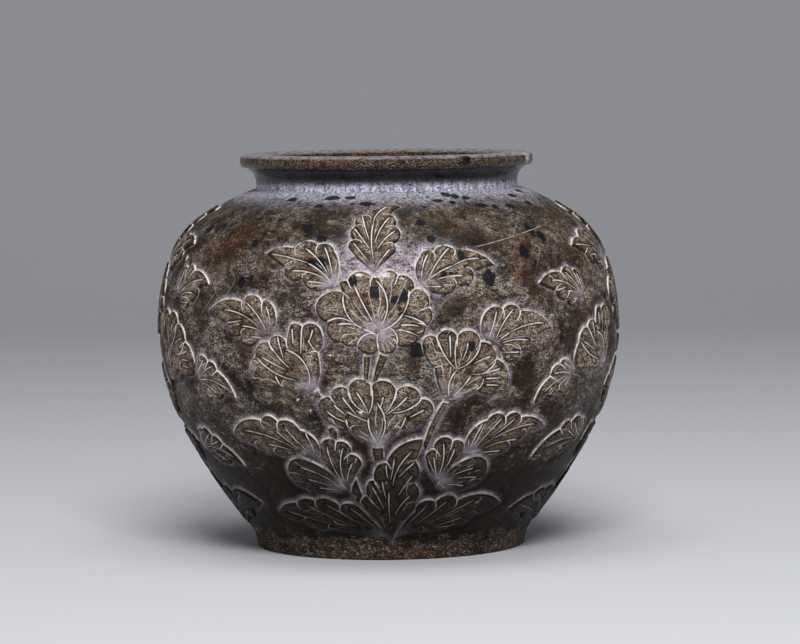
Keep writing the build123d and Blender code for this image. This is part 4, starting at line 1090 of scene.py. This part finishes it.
# Materials
class Shading:
    """Short hand for a node material whose noises are read from the object's own place."""

    def __init__(self, name):
        self.material = bpy.data.materials.new(name)
        self.material.use_nodes = True
        self.tree = self.material.node_tree
        self.tree.nodes.clear()
        self.place = self.node("ShaderNodeTexCoord").outputs["Object"]

    def node(self, kind, **settings):
        made = self.tree.nodes.new(kind)
        for key, value in settings.items():
            setattr(made, key, value)
        return made

    def put(self, socket, value):
        if hasattr(value, "links"):
            self.tree.links.new(value, socket)
        else:
            socket.default_value = value

    def attribute(self, name):
        return self.node("ShaderNodeAttribute", attribute_name=name).outputs["Fac"]

    def maths(self, operation, *values):
        made = self.node("ShaderNodeMath", operation=operation)
        for socket, value in zip(made.inputs, values):
            self.put(socket, value)
        return made.outputs[0]

    def times(self, first, *others):
        for other in others:
            first = self.maths("MULTIPLY", first, other)
        return first

    def most(self, first, *others):
        for other in others:
            first = self.maths("MAXIMUM", first, other)
        return first

    def spread(self, value, low, high, to_low=0.0, to_high=1.0):
        """Value stretched so that low to high becomes to_low to to_high, with soft ends."""
        made = self.node("ShaderNodeMapRange", interpolation_type="SMOOTHSTEP", clamp=True)
        for socket, number in zip(made.inputs, (value, low, high, to_low, to_high)):
            self.put(socket, number)
        return made.outputs[0]

    def stretched(self, size, shift=(0, 0, 0)):
        made = self.node("ShaderNodeMapping")
        self.put(made.inputs["Vector"], self.place)
        made.inputs["Scale"].default_value = size
        made.inputs["Location"].default_value = shift
        return made.outputs[0]

    def noise(self, scale, detail, rough, size=(1, 1, 1), shift=0.0):
        """Noise with bumps of about 1 / scale metres."""
        made = self.node("ShaderNodeTexNoise")
        self.put(made.inputs["Vector"], self.stretched(size, (shift, 2 * shift, 3 * shift)))
        made.inputs["Scale"].default_value = scale
        made.inputs["Detail"].default_value = detail
        made.inputs["Roughness"].default_value = rough
        return made.outputs["Fac"]

    def finished(self, colour, roughness, specular, normal=None):
        """The material, with a plain shader of these values."""
        shader = self.node("ShaderNodeBsdfPrincipled")
        self.put(shader.inputs["Base Color"], colour)
        self.put(shader.inputs["Roughness"], roughness)
        shader.inputs["Specular IOR Level"].default_value = specular
        if normal:
            self.put(shader.inputs["Normal"], normal)
        out = self.node("ShaderNodeOutputMaterial")
        self.put(out.inputs["Surface"], shader.outputs[0])
        return self.material


def colour(red, green, blue):
    """Colour as seen on a screen, 0 to 255, as the shader wants it."""
    linear = []
    for part in (red, green, blue):
        part /= 255
        linear.append(part / 12.92 if part <= 0.04045 else ((part + 0.055) / 1.055) ** 2.4)
    return (*linear, 1.0)


umber = colour(34, 25, 18)
warm_brown = colour(60, 47, 36)
grey_skin = colour(132, 121, 110)
deep_brown = colour(22, 16, 12)
rust_brown = colour(92, 56, 29)
ochre = colour(160, 122, 80)
salt_pale = colour(190, 180, 170)
salt_white = colour(228, 223, 220)
pepper_dark = colour(13, 11, 10)
near_black = colour(14, 12, 12)
low_brown = colour(24, 16, 12)
inclusion_blue = colour(17, 19, 27)
# painted sheen: the lamps' bluish reflection on the shoulder and the foot of the neck
lavender_painted_sheen = colour(226, 226, 250)
fleck_brown = colour(58, 39, 24)
fleck_beige = colour(184, 168, 146)
ground_dust = colour(178, 169, 180)
# pale dust laid as a painted highlight in the pool above each main blossom
pool_dust_and_highlight = colour(208, 200, 214)
# pale dust in the cuts, also laid as painted highlight on lit flanks
line_dust_and_highlight = colour(238, 228, 222)
leaf_brown = colour(98, 74, 53)
leaf_beige = colour(210, 188, 162)
# rubbed pale spots, and painted glints on the top of the main blossom
worn_and_glint_pale = colour(236, 230, 230)
lip_dark = colour(48, 30, 19)
lip_grey = colour(150, 145, 156)

# Heights on the jar, in metres, between which its skin changes
foot_heights = (0.0135, 0.0085)
# pale marks thin out and the clay darkens towards the bottom: partly its own tone, partly painted shade
dust_heights = (0.012, 0.078)
pale_heights = (0.035, 0.095)
low_wall_heights = (0.108, 0.036)
low_heights = (0.100, 0.028)
scratch_heights = (0.040, 0.080)
inclusion_heights = (0.05, 0.15)
shoulder_heights = (0.132, 0.158)
# painted highlight: the pool of light above each main blossom
pool_highlight_heights = [(0.124, 0.148), (0.168, 0.156)]
# painted sheen on the shoulder and the foot of the neck: where it rises, where it is brightest and where it
# fades
painted_sheen_heights = [(0.1745, 0.1862), (0.1785, 0.1858), (0.1938, 0.1872)]
fleck_heights = (0.186, 0.178)
# painted shade in the hollow of the neck under the lip
hollow_shade_heights = [(0.1872, 0.1915), (0.1974, 0.1966)]
lip_heights = (0.1966, 0.1980)
# painted shade on the underside of the lip's edge
lip_under_shade_heights = (0.2002, 0.1984)
lip_top_heights = (0.2014, 0.2030)

# Single marks, in metres
bore_radii = (0.0630, 0.0655)           # what lies farther out is the outside of the jar
pool_highlight_widths = (0.040, 0.014)            # from the middle line of a spray
lip_blot = ((0.0402, -0.0645, 0.2008), 0.0032)
lip_scar = ((0.0723, -0.0235, 0.2016), 0.0042)
scratch_start = (0.0405, -0.1009, 0.1584)
scratch_end = (0.0831, -0.0546, 0.1696)
scratch_widths = (0.00024, 0.00008)
scratch_fade = 0.006


class Stoneware(Shading):
    """Mottled umber clay under a rubbed, half-glossy skin, with pale dusting in what is cut, and painted
    shade, sheen and highlights.
    """

    def __init__(self, name, kind):
        super().__init__(name)
        self.kind = kind
        self.where = self.node("ShaderNodeSeparateXYZ")
        self.put(self.where.inputs[0], self.place)
        self.z = self.where.outputs["Z"]
        self.middle = self.noise(95, 6, 0.68, (1, 1, 1.4), 1.0)
        self.blotch = self.noise(260, 5, 0.70, (1, 1, 1.3), 2.0)
        self.grain = self.noise(700, 4, 0.70, (1, 1, 1.7), 3.0)
        self.speck = self.noise(1500, 2, 0.60, shift=4.0)
        self.patch = self.noise(300, 4, 0.65, shift=13.0)
        self.cloud = self.noise(120, 5, 0.65, shift=14.0)
        self.brushed = self.noise(620, 3, 0.65, (0.45, 0.45, 2.0), 16.0)
        # pale marks thin out towards the bottom, partly as the clay's own tone and partly as painted shade
        self.low_fade = self.spread(self.z, *dust_heights, 0.24, 1.0)
        self.lift = self.spread(self.z, *pale_heights, 0.10, 1.0)
        clumps = self.spread(self.noise(60, 5, 0.65, (1, 1, 1.3), 7.0), 0.40, 0.60, 0.10, 1.0)
        self.clumps = self.times(clumps, self.lift, self.spread(self.z, *shoulder_heights, 1.0, 0.50))
        near_foot = self.maths("ADD", self.z, self.spread(self.middle, 0.35, 0.65, -0.003, 0.003))
        self.foot_zone = self.spread(near_foot, *foot_heights)
        self.dust_and_highlight = None
        self.base = umber

    def mix(self, share, below, above):
        made = self.node("ShaderNodeMix", data_type="RGBA", blend_type="MIX", clamp_factor=True)
        self.put(made.inputs[0], share)
        self.put(made.inputs[6], below)
        self.put(made.inputs[7], above)
        return made.outputs[2]

    def lay(self, share, shade):
        """Lay a colour over what is there."""
        self.base = self.mix(share, self.base, shade)

    def spot(self, centre, reach):
        """1 around a point of the object and 0 beyond a ragged edge at about that reach."""
        made = self.node("ShaderNodeVectorMath", operation="DISTANCE")
        self.put(made.inputs[0], self.place)
        made.inputs[1].default_value = centre
        edge = self.spread(self.noise(420, 4, 0.65, shift=19.0), 0.3, 0.7, -0.3 * reach, 0.3 * reach)
        return self.spread(self.maths("ADD", made.outputs["Value"], edge), reach, 0.8 * reach)

    def clay(self):
        """The mottled ground."""
        self.lay(self.spread(self.noise(26, 5, 0.62), 0.40, 0.60), warm_brown)
        if self.kind == "relief":
            self.lay(self.times(self.spread(self.middle, 0.44, 0.60, 0.25, 0.9), self.lift), leaf_brown)
        else:
            self.lay(self.times(self.spread(self.middle, 0.42, 0.58, 0.08, 0.80), self.clumps), grey_skin)
        self.lay(self.spread(self.blotch, 0.49, 0.59, 0, 0.85), deep_brown)

    def rust(self):
        """Rust and ochre stains."""
        rusty = self.spread(self.noise(42, 6, 0.65, (1, 1, 1.4), 5.0), 0.50, 0.62)
        footing = self.times(self.foot_zone, self.spread(self.blotch, 0.40, 0.55, 0.15, 0.9))
        rusty = self.most(rusty, footing)
        if self.kind in ("wall", "relief"):
            ragged = self.spread(self.blotch, 0.35, 0.65, -0.35, 0.35)
            stain = self.maths("ADD", self.attribute("stain"), ragged)
            rusty = self.most(rusty, self.spread(stain, -0.15, 0.5))
        rusty = self.times(rusty, self.spread(self.grain, 0.38, 0.60, 0.30, 0.90))
        self.lay(self.times(rusty, 0.62), rust_brown)
        pale = self.spread(self.noise(330, 4, 0.7, shift=6.0), 0.53, 0.63, 0, 0.7)
        self.lay(self.times(rusty, pale), ochre)

    def salt_and_pepper(self):
        self.lay(self.times(self.spread(self.grain, 0.51, 0.62, 0, 0.65), self.clumps), salt_pale)
        self.lay(self.times(self.spread(self.brushed, 0.53, 0.65, 0, 0.50), self.clumps), salt_pale)
        self.lay(self.times(self.spread(self.speck, 0.58, 0.67, 0, 0.70), self.clumps), salt_white)
        self.lay(self.spread(self.speck, 0.47, 0.36, 0, 0.85), pepper_dark)
        shade = self.spread(self.noise(48, 5, 0.62, (1, 1, 1.2), 22.0), 0.50, 0.62)
        self.lay(self.times(shade, self.spread(self.patch, 0.30, 0.55, 0.35, 1.0), 0.78), deep_brown)

    def height_tones(self):
        """The lower wall is darker, partly its own tone and partly painted shade, and the shoulder has a
        painted bluish sheen outside.
        """
        wall = self.kind == "wall"
        # darker towards the bottom: partly the clay's own tone, partly painted shade
        low = self.spread(self.z, *(low_wall_heights if wall else low_heights), 0, 0.93 if wall else 0.90)
        low = self.times(low, self.spread(self.foot_zone, 0.2, 1.0, 1.0, 0.25))
        self.lay(low, low_brown if wall else near_black)
        # painted sheen: pale bluish streaks for the lamps' reflection, brightest where the shoulder meets
        # the neck
        rise, glow, fall = painted_sheen_heights
        painted_sheen = self.times(self.spread(self.z, *rise), self.spread(self.z, *glow, 0.35, 1.0))
        painted_sheen = self.times(painted_sheen, self.spread(self.z, *fall))
        streaks = self.spread(self.noise(620, 4, 0.65, (1, 1, 0.28), 9.0), 0.38, 0.58, 0.40, 1.0)
        across = self.node("ShaderNodeVectorMath", operation="LENGTH")
        self.put(across.inputs[0], self.stretched((1, 1, 0)))
        outside = self.spread(across.outputs["Value"], *bore_radii)
        grainy = self.spread(self.grain, 0.38, 0.56, 0.30, 1.0)
        self.lay(self.times(painted_sheen, streaks, outside, grainy), lavender_painted_sheen)

    def lip_skin(self):
        """Painted shade in the hollow under the lip and on the underside of its edge, and the brown lip
        with its grey top, its blot and its scar.
        """
        # painted shade: the neck under the overhanging lip darkened
        rise, fall = hollow_shade_heights
        self.lay(self.times(self.spread(self.z, *rise), self.spread(self.z, *fall), 0.85), near_black)
        skin = self.mix(self.spread(self.grain, 0.44, 0.66, 0, 0.70), lip_dark, ochre)
        skin = self.mix(self.spread(self.blotch, 0.46, 0.60, 0, 0.8), skin, deep_brown)
        # painted shade on the underside of the lip's edge
        skin = self.mix(self.spread(self.z, *lip_under_shade_heights, 0, 0.75), skin, deep_brown)
        top = self.spread(self.z, *lip_top_heights)
        skin = self.mix(self.times(top, self.spread(self.patch, 0.38, 0.60, 0.20, 0.90)), skin, lip_grey)
        skin = self.mix(self.spread(self.speck, 0.56, 0.68, 0, 0.55), skin, salt_pale)
        self.lay(self.spread(self.z, *lip_heights), skin)
        self.lay(self.spot(*lip_blot), pepper_dark)
        self.lay(self.times(self.spot(*lip_scar), 0.7), salt_pale)

    def foot_flecks(self):
        fleck = self.spread(self.grain, 0.50, 0.64, 0, 0.50)
        self.lay(self.times(self.foot_zone, fleck, self.spread(self.blotch, 0.58, 0.44)), salt_pale)

    def worked_leaf(self):
        """Dark edges, beige and puffed middles and a dusty root, with pale dusting in the cuts and painted
        highlight on the flanks that face up.
        """
        puff = self.attribute("puff")
        root = self.attribute("root")
        lobe = self.times(self.spread(puff, 0.80, 0.30), self.spread(self.cloud, 0.34, 0.60, 0.85, 0.25))
        self.lay(self.times(lobe, self.spread(root, 0.75, 0.30)), deep_brown)
        mottle = self.spread(self.grain, 0.46, 0.68, 0, 0.55)
        mottle = self.most(mottle, self.spread(self.speck, 0.50, 0.64, 0, 0.85))
        mottle = self.most(mottle, self.spread(self.brushed, 0.50, 0.66, 0, 0.60))
        inner = self.times(self.spread(puff, 0.30, 0.90, 0.05, 0.72), mottle)
        self.lay(self.times(inner, self.spread(self.cloud, 0.36, 0.58, 0.35, 1.0), self.lift), leaf_beige)
        sunk = self.times(self.spread(root, 0.25, 0.80), self.spread(self.cloud, 0.36, 0.58, 0.25, 0.80))
        self.lay(self.times(sunk, self.low_fade), ground_dust)
        # pale marks of the cuts and the outline: dust, and painted highlight on flanks that face up
        line = self.spread(self.attribute("cut"), 0.08, 0.42)
        line = self.most(line, self.times(self.fine_veins(puff, root), 0.62))
        self.dust_and_highlight = self.times(line, self.spread(self.patch, 0.32, 0.52, 0.45, 1.0), self.low_fade)

    def fine_veins(self, puff, root):
        """Veins that fan out from the root between the cut ones."""
        far = self.times(self.maths("LOGARITHM", root, math.e), -root_reach)
        wander = self.spread(self.noise(90, 2, 0.5, shift=17.0), 0.3, 0.7, -0.05, 0.05)
        side = self.maths("PINGPONG", self.maths("ADD", self.attribute("fan"), wander), fan_step / 2)
        vein = self.times(self.spread(self.times(side, far), 0.30, 0.08), self.spread(far, 4.5, 8.0))
        broken = self.spread(self.noise(75, 3, 0.6, shift=18.0), 0.45, 0.58)
        return self.times(vein, self.spread(puff, 0.30, 0.60), broken, self.spread(root, 0.003, 0.008))

    def worked_ground(self):
        """Pale dusting beside the motifs, lying more above them as painted highlight, and a painted
        highlight of speckled pale dusting in the pool above each main blossom.
        """
        near = self.attribute("near")
        halo = self.times(self.spread(near, 3.0, 0.2), self.spread(self.cloud, 0.34, 0.58, 0.12, 0.92))
        halo = self.times(halo, self.low_fade, self.spread(self.speck, 0.42, 0.58, 0.25, 1.0))
        self.lay(halo, ground_dust)
        # painted highlight: a pool of light above each main blossom, laid as speckled pale dust
        rise, fall = pool_highlight_heights
        pool = self.times(self.spread(self.z, *rise), self.spread(self.z, *fall), 0.80)
        pool = self.times(pool, self.spread(near, 9.0, 2.0), self.spread(self.speck, 0.40, 0.56, 0.30, 1.0))
        sides = [self.maths("ABSOLUTE", self.where.outputs[axis]) for axis in "XY"]
        pool = self.times(pool, self.spread(self.maths("MINIMUM", *sides), *pool_highlight_widths))
        self.lay(self.times(pool, self.spread(self.patch, 0.30, 0.55, 0.5, 1.0)), pool_dust_and_highlight)
        # pale line round the motifs: dust, and painted highlight where it lies above them
        dust_and_highlight = self.times(self.spread(near, 0.8, 0.0), self.spread(self.patch, 0.38, 0.56, 0.08, 0.75))
        self.dust_and_highlight = self.times(dust_and_highlight, self.low_fade)

    def flecks(self):
        """Brown and beige flecks below the painted sheen."""
        below = self.spread(self.z, *fleck_heights)
        fleck = self.spread(self.noise(240, 4, 0.62, (1, 1, 1.5), 23.0), 0.52, 0.61, 0, 0.72)
        self.lay(self.times(fleck, below, self.lift), fleck_brown)
        fleck = self.spread(self.noise(300, 5, 0.66, (1, 1, 1.5), 24.0), 0.54, 0.64, 0, 0.70)
        self.lay(self.times(fleck, self.clumps, below), fleck_beige)

    def inclusions(self):
        """Small dark inclusions everywhere, and the larger ones where they were drawn."""
        freckle = self.spread(self.noise(230, 3, 0.55, (1, 1, 1.6), 11.0), 0.65, 0.68)
        dark = self.times(freckle, self.spread(self.z, *inclusion_heights, 0.2, 0.9))
        if self.kind in ("wall", "relief"):
            ragged = self.spread(self.noise(420, 4, 0.65, (1, 1, 1.3), 12.0), 0.30, 0.70, -0.24, 0.24)
            drawn = self.maths("ADD", self.attribute("inclusion"), ragged)
            dark = self.most(dark, self.spread(drawn, -0.22, 0.06, 0, 0.94))
        self.lay(dark, inclusion_blue)

    def wear_and_highlights(self):
        """Pale dusting in the cuts with painted highlight on lit flanks, rubbed tips, and painted glints on
        the top of the main blossom.
        """
        self.lay(self.dust_and_highlight, line_dust_and_highlight)
        # rubbed pale spots, with painted glints on the top of the main blossom
        torn = self.spread(self.noise(800, 3, 0.6, shift=21.0), 0.3, 0.7, -0.45, 0.45)
        worn_and_glint = self.maths("ADD", self.attribute("worn_and_glint"), torn)
        self.lay(self.spread(worn_and_glint, 0.15, 0.40, 0, 0.85), worn_and_glint_pale)

    def scratches(self):
        made = self.node("ShaderNodeTexVoronoi", feature="DISTANCE_TO_EDGE")
        self.put(made.inputs["Vector"], self.stretched((1, 0.35, 0.5)))
        made.inputs["Scale"].default_value = 42
        scratch = self.spread(made.outputs["Distance"], 0.010, 0.002)
        scratch = self.times(scratch, self.spread(self.noise(33, 2, 0.5, shift=15.0), 0.56, 0.66, 0, 0.40))
        scratch = self.times(scratch, self.spread(self.z, *scratch_heights))
        if self.kind == "rim":
            scratch = self.times(scratch, 0.25)
        if self.kind == "wall":
            scratch = self.most(scratch, self.long_scratch())
        self.lay(scratch, salt_pale)

    def long_scratch(self):
        """Thin line over the front of the wall, in a plane through its two ends."""
        start, end = Vector(scratch_start), Vector(scratch_end)
        middle = Vector((0, 0, (start.z + end.z) / 2))
        normal = (start - middle).cross(end - middle).normalized()
        made = self.node("ShaderNodeVectorMath", operation="DOT_PRODUCT")
        self.put(made.inputs[0], self.place)
        made.inputs[1].default_value = normal
        off = self.maths("ABSOLUTE", self.maths("SUBTRACT", made.outputs["Value"], normal.dot(middle)))
        x, y = self.where.outputs["X"], self.where.outputs["Y"]
        fade = self.times(
            self.spread(x, start.x, start.x + scratch_fade),
            self.spread(x, end.x, end.x - scratch_fade),
            self.spread(self.noise(180, 3, 0.6, shift=20.0), 0.36, 0.52, 0.15, 0.8),
        )
        return self.times(self.spread(off, *scratch_widths), fade, self.spread(y, 0.0, -0.01))

    def surface(self):
        """Gloss and bump."""
        rim = self.kind == "rim"
        gloss = self.spread(self.middle, 0.35, 0.70, *((0.20, 0.34) if rim else (0.44, 0.62)))
        if self.dust_and_highlight:
            gloss = self.maths("ADD", gloss, self.times(self.dust_and_highlight, 0.25))
        bumps = self.maths("ADD", self.times(self.grain, 0.7), self.times(self.blotch, 0.7))
        bump = self.node("ShaderNodeBump")
        bump.inputs["Strength"].default_value = 0.14 if rim else 0.45
        bump.inputs["Distance"].default_value = 0.0006
        self.put(bump.inputs["Height"], self.maths("ADD", bumps, self.times(self.speck, 0.25)))
        return self.finished(self.base, gloss, 0.32 if rim else 0.10, bump.outputs[0])


def stoneware(name, kind):
    s = Stoneware(name, kind)
    s.clay()
    s.rust()
    s.salt_and_pepper()
    s.height_tones()
    if kind == "rim":
        s.lip_skin()
    s.foot_flecks()
    if kind == "relief":
        s.worked_leaf()
    if kind == "wall":
        s.worked_ground()
    s.flecks()
    s.inclusions()
    if s.dust_and_highlight:
        s.wear_and_highlights()
    s.scratches()
    return s.surface()


stone = {
    "body": stoneware("body", "wall"),
    "rim": stoneware("rim", "rim"),
    "foot": stoneware("foot", "foot"),
    "relief": stoneware("relief", "relief"),
}


# Putting the jar together
pieces = [
    ("lower_wall", "body", lower_wall()),
    ("upper_wall", "body", upper_wall()),
    ("neck", "rim", neck()),
    ("lip", "rim", lip()),
    ("foot_ring", "foot", foot_ring()),
    ("base_disc", "foot", base_disc()),
]
pieces += [(node, "relief", piece) for node, piece in relief_pieces()]
for node, slot, piece in pieces:
    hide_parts(node)
    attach(piece, "root")


# Floor, backdrop, lamps and camera, in metres
floor_shade = (214, 215, 220)
floor_half = 6.0
floor_depth = 1.5
backdrop_radius = 1.2
backdrop_height = 5.0
backdrop_steps = 12
camera_place = (0.006, -1.92, 0.256)
camera_aim = (0.006, 0.0, 0.1152)
camera_roll = -0.7
camera_lens = 166.5
camera_sensor = 36.0
world_shade = (0.82, 0.84, 0.88, 1)
world_level = 0.18


def floor():
    """Floor that curves up into a backdrop far behind."""
    profile = [(-floor_half, 0.0), (floor_depth, 0.0)]
    for k in range(1, backdrop_steps + 1):
        angle = math.pi / 2 * k / backdrop_steps
        y, z = math.sin(angle), 1 - math.cos(angle)
        profile.append((floor_depth + backdrop_radius * y, backdrop_radius * z))
    profile.append((floor_depth + backdrop_radius, backdrop_height))
    points = [(x, y, z) for y, z in profile for x in (-floor_half, floor_half)]
    faces = [(2 * i, 2 * i + 1, 2 * i + 3, 2 * i + 2) for i in range(len(profile) - 1)]
    mesh = bpy.data.meshes.new("floor")
    mesh.from_pydata(points, [], faces)
    mesh.shade_smooth()
    mesh.materials.append(Shading("floor").finished(colour(*floor_shade), 0.9, 0.5))
    made = bpy.data.objects.new("floor", mesh)
    bpy.context.scene.collection.objects.link(made)


def facing(place, aim):
    """Turn that points a lamp or camera at what it is aimed at."""
    return (Vector(aim) - Vector(place)).to_track_quat("-Z", "Y")


def lamp(name, place, aim, size, watts):
    light = bpy.data.lights.new(name, "AREA")
    light.shape = "RECTANGLE"
    light.size, light.size_y = size
    light.energy = watts
    made = bpy.data.objects.new(name, light)
    made.location = place
    made.rotation_euler = facing(place, aim).to_euler()
    bpy.context.scene.collection.objects.link(made)


def camera():
    data = bpy.data.cameras.new("camera")
    data.sensor_width = camera_sensor
    data.lens = camera_lens
    made = bpy.data.objects.new("camera", data)
    bpy.context.scene.collection.objects.link(made)
    turn = facing(camera_place, camera_aim).to_matrix().to_4x4()
    roll = Matrix.Rotation(math.radians(camera_roll), 4, "Z")
    made.matrix_world = Matrix.Translation(camera_place) @ turn @ roll
    bpy.context.scene.camera = made


floor()
lamp("top", (0.0, -0.25, 1.6), (0, 0, 0.1), (1.2, 0.9), 9)
lamp("key", (0.15, -1.55, 1.45), (0, 0, 0.1), (0.9, 0.7), 29)
lamp("left", (-1.9, 0.3, 0.8), (0, 0, 0.12), (0.7, 1.2), 1.2)
lamp("right", (1.9, 0.4, 0.8), (0, 0, 0.12), (0.7, 1.2), 1.2)
camera()

world = bpy.data.worlds.new("world")
bpy.context.scene.world = world
world.use_nodes = True
world.node_tree.nodes["Background"].inputs[0].default_value = world_shade
world.node_tree.nodes["Background"].inputs[1].default_value = world_level
bpy.context.scene.view_settings.view_transform = "Standard"
